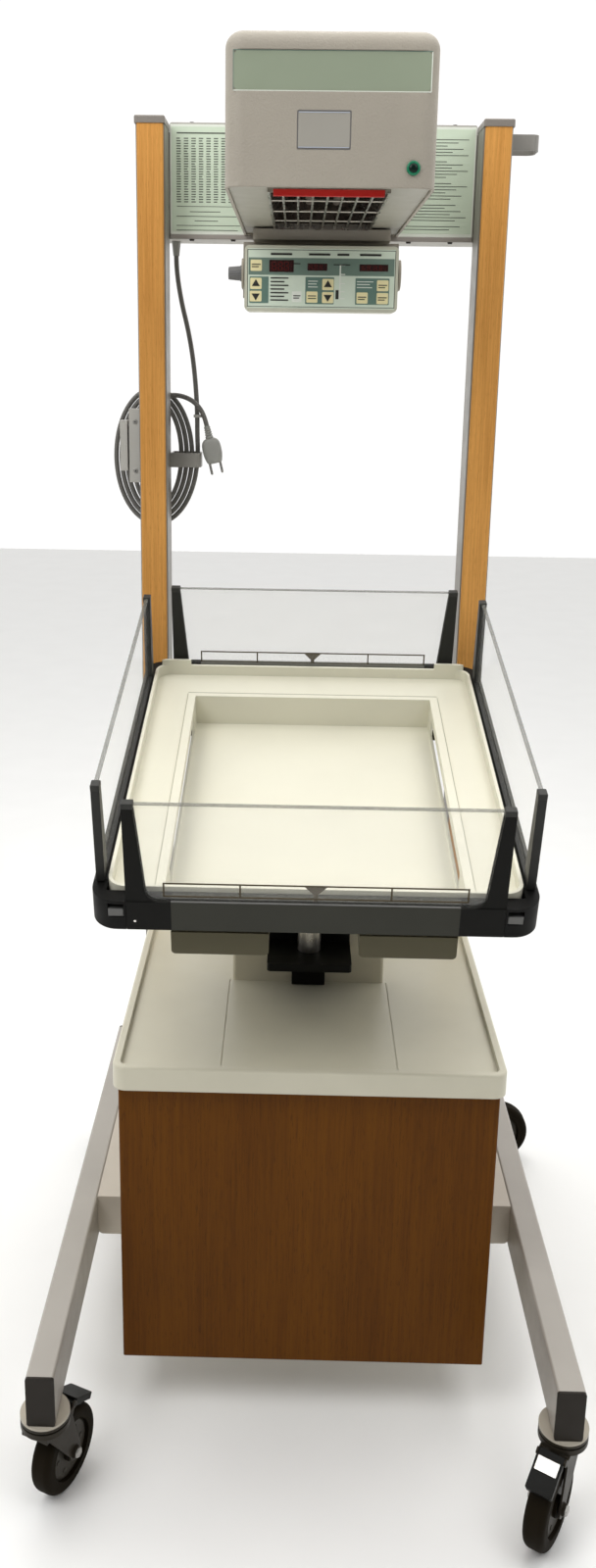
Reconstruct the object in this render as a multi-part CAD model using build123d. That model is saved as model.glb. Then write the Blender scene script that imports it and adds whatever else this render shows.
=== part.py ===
from build123d import *
import math
import os

os.makedirs("parts", exist_ok=True)

# Infant radiant warmer: wheeled base with cabinet, tilting bed with clear
# fold-down sides, two uprights, and an overhead heater with its control box.
# Millimetres. X to the right seen from the foot end, Y towards the head end,
# Z up. The origin is on the floor, in the plane of symmetry, half way between
# the front and rear caster swivels.

# Fits and general values
run_gap = 0.05        # radial clearance of a pin or stem that turns
slide_gap = 0.3       # clearance between pieces that slide or pass
seat_gap = 0.3        # rest gap of a piece that leans on another
overrun = 5.0         # how far a cutting tool runs past a face
steel_wall = 3.0
board = 18.0          # cabinet board

# Base
track_half = 366.0
swivel_y = 426.0
leg_width = 40.0
leg_height = 80.0
leg_front_reach = 30.0
leg_rear_reach = 74.0
leg_corner = 4.0
plug_flange = 4.0
plug_depth = 20.0
beam_front_y = -60.0
beam_rear_margin = 3.0
beam_rise = 6.0
beam_height = 73.0
beam_corner = 9.0
leg_inner_x = track_half - leg_width / 2
leg_outer_x = track_half + leg_width / 2

# Casters
wheel_radius = 62.5
wheel_width = 32.0
wheel_round = 9.0
wheel_dish_outer = 43.0
wheel_dish_inner = 15.0
wheel_dish_depth = 6.0
axle_radius = 5.0
axle_head_radius = 9.0
axle_head = 4.0
caster_trail = 40.0
fork_gap = 2.5
fork_cheek = 3.0
crown_radius = 35.0
crown_height = 20.0
crown_groove = 3.0
fork_plate = 9.0
fork_clear = 8.7
fork_foot_radius = 13.0
fork_front = 27.0
fork_back = 33.0
stem_radius = 6.0
stem_length = 28.0
pedal_pivot_out = 43.0
pedal_pivot_drop = 20.0
pedal_pin_radius = 2.5
pedal_width = 38.0
pedal_thick = 9.0
pedal_length = 52.0
pedal_slope = 30.0
pedal_round = 3.0
front_left_angle = 66.0
front_right_angle = 238.0
rear_left_angle = 90.0
rear_right_angle = 3.0

# Cabinet
cabinet_half = 278.0
cabinet_front_y = -261.0
shelf_rear_overhang = 70.0
cabinet_drop = 62.0
cabinet_height = 493.0
cabinet_edge = 3.0
drawer_gap = 2.0
drawer_wall = 10.0
drawer_floor = 8.0
drawer_body_margin = 43.0
drawer_body_lift = 14.0
runner_width = 12.0
runner_height = 8.0
pull_width = 120.0
pull_depth = 22.0
pull_round = 10.0

# Shelf top
shelf_overhang = 6.5
shelf_front_overhang = 20.0
shelf_upright_gap = 5.0
shelf_thick = 11.0
shelf_rim = 10.0
shelf_rim_width = 11.0
shelf_skirt = 16.0
shelf_corner = 20.0
shelf_step_x = 128.0
shelf_step_width = 2.0
shelf_step_depth = 1.0

# Pedestal, column and tilt
pedestal_half = 124.0
pedestal_front_y = 10.0
pedestal_shelf_gap = 1.0
pedestal_height = 264.0
pedestal_wall = 4.0
pedestal_corner = 6.0
column_half = 50.0
column_depth = 50.0
column_wall = 4.0
column_flange = 8.0
column_flange_margin = 14.0
arm_height = 60.0
arm_drop = 12.0
hinge_setback = 37.0
hinge_rise = 63.4
hinge_pin_radius = 8.0
lug_radius = 13.0
lug_thick = 8.0
lug_x = 34.0
bracket_half = 66.5
bracket_reach = 91.0
bracket_height = 77.0
bracket_thick = 13.0
bracket_corner = 6.0
bracket_foot_half = 27.0
bracket_foot_depth = 14.0
bracket_foot_gap = 2.0
actuator_forward = 34.0
actuator_radius = 18.5
actuator_rod_radius = 10.0
actuator_length = 202.0
actuator_seal = 6.0
rod_engaged = 110.0
rod_rest_gap = 0.5

# Bed, in its own axes: x, v along the bed from the foot end, w square to it
bed_tilt = 13.0
bed_upright_gap = 42.9
hinge_drop = 88.0
rail_height = 44.0
bed_length = 698.0
bed_half = 291.5
corner_block = 48.0
corner_radius = 35.0
bar_end_inset = 47.5
bar_depth = 24.0
bar_gap = 0.5
side_bar_width = 18.5
panel_pivot_w = -30.0
front_pivot_v = 7.0
side_pivot_inset = 6.5
panel_pin_radius = 4.0
panel_pin_length = 10.0
panel_height = 146.0
post_foot = 27.0
post_tip = 14.0
post_fillet = 16.0
post_depth = 12.0
post_inset = 1.0
glass_thick = 5.0
glass_inset = 6.0
glass_bite = 7.0
side_post_inset = 15.5
side_post_depth = 11.5
side_panel_front_v = 42.0
side_panel_rear_inset = 46.0
side_post_lift = 1.4
track_height = 7.0
rear_post_socket = 24.0
rear_panel_inset = 11.0
latch_inset = 34.0
latch_width = 20.0
latch_height = 12.0
latch_bottom_w = -24.0
latch_slot = 8.0
latch_depth = 14.0
latch_proud = 1.0
latch_travel = 4.0

tray_inset = 19.5
tray_front_v = 25.0
tray_rim_w = 7.0
tray_floor_w = -11.0
tray_base = 5.0
tray_wall = 5.0
tray_corner = 24.0
tray_ear_rise = 10.0
tray_ear_run = 60.0
recess_inset = 74.0
recess_front_v = 40.0
recess_rear_inset = 89.7
recess_floor_w = -61.0
recess_floor = 4.0
recess_wall = 4.0
lip_width = 13.0
lip_height = 3.0
window_front_v = 110.0
window_rear_inset = 39.0
window_low_w = -56.0
window_high_w = -24.0
chassis_rail_width = 60.0
chassis_rail_inset = 25.5
chassis_plate = 5.5
chassis_plate_v = 29.5
chassis_wall = 3.0
pan_inner = 60.0
pan_recess_margin = 8.0
pan_front_v = 24.0
pan_rear_inset = 58.0
pan_bottom_w = -102.0
pan_top_w = -66.0
pan_wall = 2.5
pan_round = 6.0
hanger_width = 30.0
bridge_half = 42.0
bridge_bottom_w = -72.0

# Uprights
upright_inner_x = 259.0
upright_width = 48.0
upright_front_y = 332.0
upright_depth = 77.0
upright_wall = 3.0
upright_round = 5.0
upright_top = 1972.0
strip_thick = 7.0
strip_sink = 3.0
strip_edge = 2.2
strip_round = 3.0
cap_height = 12.0
cap_proud = 1.5
cap_spigot = 16.0
cap_round = 3.0

# Header between the upright tops
header_height = 184.5
header_rise = 14.0
header_nose = 4.0
header_depth = 83.0
header_inset = 22.0
header_wall = 2.0
header_round = 4.0
module_half = 90.0
module_depth = 46.0
module_height = 74.0
cover_thick = 2.0

# Heater head
head_half = 131.0
head_reach = 547.0
head_height = 179.0
head_over = 2.0
head_wall = 4.0
head_front_round = 24.0
head_top_round = 20.0
head_bottom_round = 7.0
plate_margin = 10.0
plate_height = 46.5
plate_drop = 24.0
plate_sink = 1.5
underpan_lift = 3.0
underpan_thick = 3.0
guard_half = 78.0
guard_front_margin = 34.0
guard_neck_gap = 4.0
guard_frame = 6.0
guard_frame_height = 8.0
guard_wire = 3.0
guard_columns = 8
guard_row_pitch = 125.0
reflector_rise = 73.0
reflector_top_half = 44.0
reflector_overlap = 6.0
reflector_flange = 14.0
reflector_wall = 1.5
reflector_margin = 4.0
element_radius = 6.0
element_rise = 41.0
element_half_pitch = 22.0
element_fit = 0.1
element_stub = 5.0

# Control box under the head
box_half = 124.5
box_forward = 63.0
box_depth = 62.0
box_height = 102.0
box_drop = 10.0
box_wall = 3.0
box_round = 8.0
box_pivot_depth = 31.0
box_pivot_rise = 60.0
panel_margin = 5.0
panel_thick = 3.0
circuit_thick = 2.0
circuit_setback = 9.0
circuit_margin = 12.0
circuit_boss_radius = 4.0
neck_inset = 12.5
neck_setback = 19.0
neck_height = 17.0
neck_round = 8.0
yoke_setback = 21.0
yoke_thick = 8.0
yoke_rise = 24.0
yoke_gap = 1.5
yoke_ear = 4.0
yoke_ear_radius = 23.5
knob_boss_radius = 12.5
knob_boss = 3.0
knob_radius = 11.0
knob_tip_radius = 9.5
knob_length = 19.0
knob_bolt_radius = 4.0
knob_bolt_reach = 14.0

# Hooks, cord bracket
hook_band = 3.0
hook_height = 25.0
hook_reach = 54.0
hook_run = 56.0
hook_behind = 39.0
hook_right_drop = 26.0
hook_left_drop = 18.0
cord_bracket_drop = 42.0
cord_bracket_height = 126.0
cord_bracket_plate = 20.0
cord_bracket_setback = 20.0
cord_bracket_depth = 26.0
cord_bracket_reach = 36.0
cord_bracket_lip = 13.0
cord_bracket_lip_margin = 20.0
cord_bracket_web = 6.0

# Mains cord, its coil behind the left upright, and the plug
cord_diameter = 8.5
coil_beside = 30.0
coil_drop = 367.5
coil_behind = 15.0
coil_half_width = 75.5
coil_half_height = 124.0
coil_quarters = 14
coil_pitch = 9.6
coil_end_share = 1.25
coil_end_dip = 2.0
gland_inside = 7.0
gland_behind = 28.0
gland_radius = 8.0
gland_length = 24.0
gland_tip_radius = 5.4
plug_beside = 98.0
plug_forward = 10.0
plug_rise = 33.0
plug_lean = 13.0
plug_body = 46.0
plug_half_width = 17.5
plug_half_depth = 11.0
plug_round = 5.0
plug_pin_radius = 2.4
plug_pin_length = 19.0
plug_pin_half_pitch = 9.5
relief_length = 22.0
relief_foot_radius = 7.0
relief_tip_radius = 5.2
tie_width = 5.0
tie_thick = 1.6
tie_gap = 0.8
tie_rise = 68.0

# Places of the base that follow from the sizes above
leg_bottom = 2 * wheel_radius + fork_clear + fork_plate + crown_height + slide_gap
leg_top = leg_bottom + leg_height
leg_front_y = -swivel_y - leg_front_reach
leg_rear_y = swivel_y + leg_rear_reach
upright_outer_x = upright_inner_x + upright_width
upright_rear_y = upright_front_y + upright_depth
beam_rear_y = upright_rear_y + beam_rear_margin
beam_bottom = leg_bottom + beam_rise
beam_top = beam_bottom + beam_height
cabinet_bottom = beam_bottom - cabinet_drop
cabinet_top = cabinet_bottom + cabinet_height
shelf_half = cabinet_half + shelf_overhang
shelf_front_y = cabinet_front_y - shelf_front_overhang
shelf_rear_y = upright_front_y - shelf_upright_gap
cabinet_rear_y = shelf_rear_y - shelf_rear_overhang
shelf_field = cabinet_top + shelf_thick
shelf_skirt_bottom = cabinet_top - shelf_skirt
pedestal_rear_y = shelf_rear_y - shelf_rim_width - pedestal_shelf_gap
pedestal_top = shelf_field + pedestal_height
hinge_y = pedestal_front_y + hinge_setback
hinge_z = pedestal_top + hinge_rise
bracket_top = shelf_field + bracket_height
bracket_front_y = pedestal_front_y - bracket_reach
actuator_y = pedestal_front_y - actuator_forward
actuator_top = bracket_top + actuator_length

# Places of the bed: its head end keeps clear of the uprights and its plane
# passes over the hinge
tilt_sin = math.sin(math.radians(bed_tilt))
tilt_cos = math.cos(math.radians(bed_tilt))
bed_foot_y = upright_front_y - bed_upright_gap - bed_length * tilt_cos
hinge_v = (hinge_y - bed_foot_y - hinge_drop * tilt_sin) / tilt_cos
bed_foot_z = hinge_z - hinge_v * tilt_sin + hinge_drop * tilt_cos
bridge_v = (actuator_y - bed_foot_y + bridge_bottom_w * tilt_sin) / tilt_cos
bridge_front_v = bridge_v - bridge_half
bridge_rear_v = bridge_v + bridge_half
bar_end_x = bed_half - bar_end_inset
side_pivot_x = bed_half - side_pivot_inset
side_post_inner = bed_half - side_post_inset
side_panel_rear_v = bed_length - side_panel_rear_inset
rear_panel_v = bed_length - rear_panel_inset
latch_x = bed_half - latch_inset
tray_half = bed_half - tray_inset
tray_rear_v = bed_length - bar_depth - slide_gap
recess_half = tray_half - recess_inset
recess_rear_v = tray_rear_v - recess_rear_inset
window_rear_v = recess_rear_v - window_rear_inset
chassis_rail_outer = bed_half - chassis_rail_inset
chassis_rail_inner = chassis_rail_outer - chassis_rail_width
pan_outer = recess_half - pan_recess_margin
pan_rear_v = bed_length - pan_rear_inset

# Places of the header, the head and the control box, from the upright tops
header_top = upright_top + header_rise
header_bottom = header_top - header_height
header_half = upright_outer_x - header_inset
head_top = header_top + head_over
head_bottom = head_top - head_height
head_front_y = upright_front_y - head_reach
plate_half = head_half - plate_margin
plate_top = head_top - plate_drop
plate_bottom = plate_top - plate_height
box_front_y = upright_front_y - box_forward
box_rear_y = box_front_y + box_depth
box_pivot_y = box_front_y + box_pivot_depth
neck_half = box_half - neck_inset
neck_bottom = head_bottom - neck_height
box_top = neck_bottom - box_drop
box_bottom = box_top - box_height
box_pivot_z = box_bottom + box_pivot_rise
yoke_front_y = box_rear_y + yoke_setback
yoke_bottom = box_bottom + yoke_rise
guard_front_y = head_front_y + guard_front_margin
guard_rear_y = box_front_y + neck_setback - guard_neck_gap
reflector_foot_half = guard_half + reflector_overlap
reflector_top = head_bottom + reflector_rise
element_z = head_bottom + element_rise

# Places of the hooks and the cord, from the header and the left upright
coil_centre_x = -upright_inner_x - coil_beside
coil_centre_z = header_bottom - coil_drop
coil_y = upright_rear_y + coil_behind
gland_x = gland_inside - upright_inner_x
gland_y = coil_y + gland_behind
plug_x = coil_centre_x + plug_beside
plug_y = coil_y - plug_forward
plug_top = coil_centre_z + plug_rise
tie_bottom = coil_centre_z + tie_rise
hook_rear_y = upright_rear_y + hook_behind
hook_right_z = upright_top - hook_right_drop
hook_left_z = coil_centre_z - hook_left_drop
cord_bracket_bottom = coil_centre_z - cord_bracket_drop
cord_bracket_top = cord_bracket_bottom + cord_bracket_height
cord_bracket_front_y = upright_front_y + cord_bracket_setback


def block(x0, x1, y0, y1, z0, z1):
    """A box between two opposite corners."""
    size = Box(x1 - x0, y1 - y0, z1 - z0)
    return Pos((x0 + x1) / 2, (y0 + y1) / 2, (z0 + z1) / 2) * size


def rod_x(x0, x1, y, z, radius):
    """A cylinder along X."""
    bar = Rot(0, 90, 0) * Cylinder(radius, x1 - x0)
    return Pos((x0 + x1) / 2, y, z) * bar


def rod_y(x, y0, y1, z, radius):
    """A cylinder along Y."""
    bar = Rot(90, 0, 0) * Cylinder(radius, y1 - y0)
    return Pos(x, (y0 + y1) / 2, z) * bar


def rod_z(x, y, z0, z1, radius):
    """A cylinder along Z."""
    return Pos(x, y, (z0 + z1) / 2) * Cylinder(radius, z1 - z0)


def outline_xz(points, y0, y1):
    """A prism along Y with its outline given as x, z points."""
    face = make_face(Polyline(*[(x, 0, z) for x, z in points], close=True))
    return Pos(0, y0, 0) * extrude(face, amount=y1 - y0, dir=(0, 1, 0))


def outline_yz(points, x0, x1):
    """A prism along X with its outline given as y, z points."""
    face = make_face(Polyline(*[(0, y, z) for y, z in points], close=True))
    return Pos(x0, 0, 0) * extrude(face, amount=x1 - x0, dir=(1, 0, 0))


def mirrored(shape):
    """The same shape on the other side of the plane of symmetry."""
    return mirror(shape, about=Plane.YZ)


def save(shape, name):
    """Writes one node."""
    solids = shape.solids()
    whole = solids[0] if len(solids) == 1 else Compound(children=list(solids))
    export_step(whole, f"parts/{name}.step")


def edges_along(shape, axis, test):
    """Edges parallel to an axis whose centre passes a test."""
    return [e for e in shape.edges().filter_by(axis) if test(e.center())]


def in_bed(shape):
    """Takes a shape from the bed's own axes to its place at rest."""
    return Pos(0, bed_foot_y, bed_foot_z) * Rot(bed_tilt, 0, 0) * shape


# Base: legs, plugs and beam
def leg():
    tube = block(leg_inner_x, leg_outer_x, leg_front_y + plug_flange, leg_rear_y - plug_flange,
                 leg_bottom, leg_top)
    tube = fillet(tube.edges().filter_by(Axis.Y), leg_corner)
    bore = block(leg_inner_x + steel_wall, leg_outer_x - steel_wall,
                 leg_front_y - overrun, leg_rear_y + overrun,
                 leg_bottom + steel_wall, leg_top - steel_wall)
    tube -= bore
    for y in (-swivel_y, swivel_y):
        tube -= rod_z(track_half, y, leg_bottom - overrun, leg_bottom + steel_wall + overrun,
                      stem_radius + run_gap)
    return tube


def leg_plug(rear):
    outer = leg_rear_y if rear else leg_front_y
    side = -1 if rear else 1
    flange = block(leg_inner_x, leg_outer_x, min(outer, outer + side * plug_flange),
                   max(outer, outer + side * plug_flange), leg_bottom, leg_top)
    flange = fillet(flange.edges().filter_by(Axis.Y), leg_corner)
    inset = steel_wall + run_gap
    start = outer + side * plug_flange
    end = start + side * plug_depth
    spigot = block(leg_inner_x + inset, leg_outer_x - inset, min(start, end), max(start, end),
                   leg_bottom + inset, leg_top - inset)
    spigot -= rod_z(track_half, math.copysign(swivel_y, outer), leg_bottom - overrun,
                    leg_top + overrun, stem_radius + 2 * slide_gap)
    return flange + spigot


def base_beam():
    beam = block(-leg_inner_x, leg_inner_x, beam_front_y, beam_rear_y, beam_bottom, beam_top)
    beam = fillet(edges_along(beam, Axis.Y, lambda c: c.Z < (beam_bottom + beam_top) / 2),
                  beam_corner)
    hollow = block(-leg_inner_x + steel_wall, leg_inner_x - steel_wall,
                   beam_front_y + steel_wall, beam_rear_y - steel_wall,
                   beam_bottom + steel_wall, beam_top - steel_wall)
    return beam - hollow


# Casters: made at the swivel axis, trailing along +X, then turned and placed
crown_top = leg_bottom - slide_gap
crown_base = crown_top - crown_height
cheek_inner = wheel_width / 2 + fork_gap
cheek_outer = cheek_inner + fork_cheek


def caster_fork(braked):
    crown = Pos(0, 0, (crown_base + crown_top) / 2) * Cylinder(crown_radius, crown_height)
    groove_z = crown_base + crown_height / 2
    ring = Cylinder(crown_radius + overrun, crown_groove) - Cylinder(
        crown_radius - crown_groove, crown_groove)
    crown -= Pos(0, 0, groove_z) * ring
    fork = crown + rod_z(0, 0, crown_base, crown_top + stem_length, stem_radius)
    plate_bottom_z = crown_base - fork_plate
    fork += block(-fork_front, fork_back, -cheek_outer, cheek_outer, plate_bottom_z, crown_base)
    cheek_points = [(-fork_front, crown_base), (fork_back, crown_base),
                    (caster_trail + fork_foot_radius, wheel_radius),
                    (caster_trail - fork_foot_radius, wheel_radius)]
    for side in (-1, 1):
        y0 = min(side * cheek_inner, side * cheek_outer)
        y1 = max(side * cheek_inner, side * cheek_outer)
        fork += outline_xz(cheek_points, y0, y1)
        fork += rod_y(caster_trail, y0, y1, wheel_radius, fork_foot_radius)
        head0 = min(side * cheek_outer, side * (cheek_outer + axle_head))
        head1 = max(side * cheek_outer, side * (cheek_outer + axle_head))
        fork += rod_y(caster_trail, head0, head1, wheel_radius, axle_head_radius)
    fork += rod_y(caster_trail, -cheek_outer, cheek_outer, wheel_radius, axle_radius)
    if braked:
        pivot_z = crown_top - pedal_pivot_drop
        ear_points = [(fork_back - fork_plate, crown_base), (pedal_pivot_out, pivot_z),
                      (fork_back, plate_bottom_z - fork_plate), (0, plate_bottom_z)]
        for side in (-1, 1):
            y0 = min(side * cheek_inner, side * cheek_outer)
            y1 = max(side * cheek_inner, side * cheek_outer)
            fork += outline_xz(ear_points, y0, y1)
            fork += rod_y(pedal_pivot_out, y0, y1, pivot_z, 2 * pedal_pin_radius)
            fork -= rod_y(pedal_pivot_out, y0 - overrun, y1 + overrun, pivot_z,
                          pedal_pin_radius + run_gap)
    return fork


def caster_wheel():
    tyre = rod_y(caster_trail, -wheel_width / 2, wheel_width / 2, wheel_radius, wheel_radius)
    tyre = fillet(tyre.edges(), wheel_round)
    for side in (-1, 1):
        face = side * wheel_width / 2
        y0 = min(face, face - side * wheel_dish_depth)
        y1 = max(face, face - side * wheel_dish_depth)
        dish = rod_y(caster_trail, y0, y1, wheel_radius, wheel_dish_outer)
        dish -= rod_y(caster_trail, y0, y1, wheel_radius, wheel_dish_inner)
        tyre -= dish
    return tyre - rod_y(caster_trail, -wheel_width, wheel_width, wheel_radius,
                        axle_radius + run_gap)


def brake_pedal():
    pivot_z = crown_top - pedal_pivot_drop
    lever_half = cheek_inner - slide_gap
    plate = block(2 * pedal_pin_radius + slide_gap, pedal_length, -pedal_width / 2,
                  pedal_width / 2, 0, pedal_thick)
    plate = fillet(plate.edges().filter_by(Axis.Z), pedal_round)
    lever = block(-2 * pedal_pin_radius, pedal_length / 2, -lever_half, lever_half,
                  -2 * pedal_pin_radius, pedal_pin_radius)
    pedal = Rot(0, pedal_slope, 0) * (Pos(0, 0, -pedal_pin_radius) * plate + lever)
    pedal = Pos(pedal_pivot_out, 0, pivot_z) * pedal
    pedal += rod_y(pedal_pivot_out, -cheek_outer, cheek_outer, pivot_z, pedal_pin_radius)
    return pedal


def place_caster(shape, side, y, angle):
    return Pos(side * track_half, y, 0) * Rot(0, 0, angle) * shape


# Cabinet
cabinet_wall_x = cabinet_half - board
carcass_front_y = cabinet_front_y + board
lower_rear_y = beam_front_y - slide_gap
drawer_bottom = beam_top + board
drawer_pitch = (cabinet_top - board - drawer_bottom) / 2
drawer_body_height = drawer_pitch - drawer_body_margin
drawer_front_y = carcass_front_y
drawer_rear_y = cabinet_rear_y - board


def cabinet_carcass():
    body = block(-cabinet_half, cabinet_half, carcass_front_y, cabinet_rear_y, beam_top,
                 beam_top + board)
    body += block(-cabinet_half, cabinet_half, carcass_front_y, cabinet_rear_y,
                  cabinet_top - board, cabinet_top)
    body += block(-cabinet_half, -cabinet_wall_x, carcass_front_y, cabinet_rear_y, beam_top,
                  cabinet_top)
    body += block(-cabinet_half, cabinet_half, drawer_rear_y, cabinet_rear_y, beam_top,
                  cabinet_top)
    lower = block(-cabinet_half, cabinet_half, carcass_front_y, lower_rear_y, cabinet_bottom,
                  beam_top)
    lower -= block(-cabinet_wall_x, cabinet_wall_x, carcass_front_y - overrun,
                   lower_rear_y - board, cabinet_bottom + board, beam_top)
    body += lower
    runner_x0 = -cabinet_wall_x
    for level in (0, 1):
        z = drawer_bottom + level * drawer_pitch + drawer_body_lift + drawer_body_height / 2
        for y0, y1 in ((drawer_rear_y - runner_width, drawer_rear_y),):
            body += block(runner_x0, cabinet_wall_x - drawer_gap, y0, y1, z, z + runner_height)
    return body


def cabinet_front():
    panel = block(-cabinet_half, cabinet_half, cabinet_front_y, carcass_front_y, cabinet_bottom,
                  cabinet_top)
    panel = fillet(edges_along(panel, Axis.Z, lambda c: c.Y < carcass_front_y - board / 2),
                   cabinet_edge)
    for level in (0, 1):
        z = drawer_bottom + level * drawer_pitch + drawer_body_lift + drawer_body_height / 2
        panel += block(-cabinet_wall_x, cabinet_wall_x - drawer_gap, carcass_front_y,
                       carcass_front_y + runner_width, z, z + runner_height)
    return panel


def drawer(level):
    bottom = drawer_bottom + level * drawer_pitch
    front = block(cabinet_wall_x, cabinet_half, drawer_front_y + drawer_gap,
                  drawer_rear_y - drawer_gap, bottom + drawer_gap,
                  bottom + drawer_pitch - drawer_gap)
    middle_y = (drawer_front_y + drawer_rear_y) / 2
    notch = block(cabinet_wall_x - overrun, cabinet_half + overrun,
                  middle_y - pull_width / 2, middle_y + pull_width / 2,
                  bottom + drawer_pitch - drawer_gap - pull_depth,
                  bottom + drawer_pitch + overrun)
    notch = fillet(edges_along(notch, Axis.X, lambda c: c.Z < bottom + drawer_pitch - pull_depth
                               / 2), pull_round)
    front -= notch
    y0 = drawer_front_y + drawer_gap
    y1 = drawer_rear_y - drawer_gap
    x0 = -cabinet_wall_x + drawer_gap
    z0 = bottom + drawer_body_lift
    z1 = z0 + drawer_body_height
    body = block(x0, cabinet_wall_x, y0, y1, z0, z1)
    body -= block(x0 + drawer_wall, cabinet_wall_x, y0 + runner_width + drawer_wall,
                  y1 - runner_width - drawer_wall, z0 + drawer_floor, z1 + overrun)
    groove_z = z0 + drawer_body_height / 2
    for g0, g1 in ((y0 - overrun, y0 - drawer_gap + runner_width + slide_gap),
                   (y1 + drawer_gap - runner_width - slide_gap, y1 + overrun)):
        body -= block(x0 - overrun, cabinet_wall_x, g0, g1, groove_z - slide_gap,
                      groove_z + runner_height + slide_gap)
    return front + body


def shelf_top():
    outer = block(-shelf_half, shelf_half, shelf_front_y, shelf_rear_y, shelf_skirt_bottom,
                  shelf_field + shelf_rim)
    outer = fillet(outer.edges().filter_by(Axis.Z), shelf_corner)
    outer = fillet(outer.faces().sort_by(Axis.Z)[-1].edges(), shelf_rim / 3)
    inner = block(-shelf_half + shelf_rim_width, shelf_half - shelf_rim_width,
                  shelf_front_y + shelf_rim_width, shelf_rear_y - shelf_rim_width,
                  shelf_field, shelf_field + shelf_rim + overrun)
    inner = fillet(inner.edges().filter_by(Axis.Z), shelf_corner - shelf_rim_width)
    outer -= inner
    outer -= block(-cabinet_half - slide_gap, cabinet_half + slide_gap,
                   cabinet_front_y - slide_gap, cabinet_rear_y + slide_gap,
                   shelf_skirt_bottom - overrun, cabinet_top)
    outer -= block(-column_half - slide_gap, column_half + slide_gap,
                   column_rear_y - column_depth - slide_gap, column_rear_y + slide_gap,
                   shelf_skirt_bottom - overrun, shelf_field + shelf_rim + overrun)
    for side in (-1, 1):
        x = side * shelf_step_x
        outer -= block(x - shelf_step_width / 2, x + shelf_step_width / 2,
                       shelf_front_y + 2 * shelf_rim_width, pedestal_front_y,
                       shelf_field - shelf_step_depth, shelf_field + overrun)
    return outer


# Column, pedestal and tilt drive
column_rear_y = pedestal_rear_y - pedestal_wall - slide_gap
arm_top = pedestal_top - arm_drop


def bed_column():
    y0 = column_rear_y - column_depth
    column = block(-column_half, column_half, y0, column_rear_y, beam_top, arm_top)
    column -= block(-column_half + column_wall, column_half - column_wall, y0 + column_wall,
                    column_rear_y - column_wall, beam_top - overrun, arm_top - arm_height)
    column += block(-column_half - column_flange_margin, column_half + column_flange_margin,
                    y0 - column_wall + slide_gap, column_rear_y + column_flange_margin,
                    beam_top, beam_top + column_flange)
    arm_y0 = pedestal_front_y + pedestal_wall + slide_gap
    arm = block(-column_half, column_half, arm_y0, y0, arm_top - arm_height, arm_top)
    arm -= block(-column_half + column_wall, column_half - column_wall, arm_y0 + column_wall,
                 y0 - column_wall, arm_top - arm_height + column_wall, arm_top - column_wall)
    column += arm
    for side in (-1, 1):
        x0 = side * lug_x - lug_thick / 2
        x1 = side * lug_x + lug_thick / 2
        lug = block(x0, x1, hinge_y - lug_radius, hinge_y + lug_radius,
                    arm_top - column_wall, hinge_z)
        lug += rod_x(x0, x1, hinge_y, hinge_z, lug_radius)
        lug -= rod_x(x0 - overrun, x1 + overrun, hinge_y, hinge_z, hinge_pin_radius + run_gap)
        column += lug
    return column


def pedestal_cover():
    outer = block(-pedestal_half, pedestal_half, pedestal_front_y, pedestal_rear_y,
                  shelf_field, pedestal_top)
    outer = fillet(outer.edges().filter_by(Axis.Z), pedestal_corner)
    outer = fillet(outer.faces().sort_by(Axis.Z)[-1].edges(), pedestal_corner / 2)
    outer -= block(-pedestal_half + pedestal_wall, pedestal_half - pedestal_wall,
                   pedestal_front_y + pedestal_wall, pedestal_rear_y - pedestal_wall,
                   shelf_field - overrun, pedestal_top - pedestal_wall)
    slot_half = lug_x + lug_thick / 2 + run_gap * 10
    outer -= block(-slot_half, slot_half, hinge_y - lug_radius - slide_gap,
                   hinge_y + lug_radius + slide_gap, pedestal_top - 2 * pedestal_wall,
                   pedestal_top + overrun)
    return outer


def tilt_bracket():
    plate = block(-bracket_half, bracket_half, bracket_front_y, pedestal_front_y,
                  bracket_top - bracket_thick, bracket_top)
    plate = fillet(edges_along(plate, Axis.Z, lambda c: c.Y < (bracket_front_y
                                                             + pedestal_front_y) / 2),
                   bracket_corner)
    plate += block(-bracket_half, bracket_half, pedestal_front_y - bracket_thick / 2,
                   pedestal_front_y, bracket_top - bracket_thick,
                   bracket_top + 2 * bracket_thick)
    plate += block(-bracket_foot_half, bracket_foot_half,
                   pedestal_front_y - bracket_foot_depth, pedestal_front_y,
                   shelf_field + bracket_foot_gap, bracket_top - bracket_thick)
    return plate


def bridge_height(y, w):
    """Height at rest of the bed plane w, over the place y."""
    v = (y - bed_foot_y + w * tilt_sin) / tilt_cos
    return bed_foot_z + v * tilt_sin + w * tilt_cos


def actuator_tube():
    tube = rod_z(0, actuator_y, bracket_top, actuator_top, actuator_radius)
    tube = fillet(tube.faces().sort_by(Axis.Z)[-1].edges(), actuator_seal / 3)
    return tube - rod_z(0, actuator_y, bracket_top + actuator_seal, actuator_top + overrun,
                        actuator_rod_radius + run_gap)


def actuator_rod():
    contact = bridge_height(actuator_y, bridge_bottom_w)
    reach = (actuator_rod_radius + rod_rest_gap) / tilt_cos
    centre = contact - reach
    rod = rod_z(0, actuator_y, actuator_top - rod_engaged, centre, actuator_rod_radius)
    return rod + Pos(0, actuator_y, centre) * Sphere(actuator_rod_radius)


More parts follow.
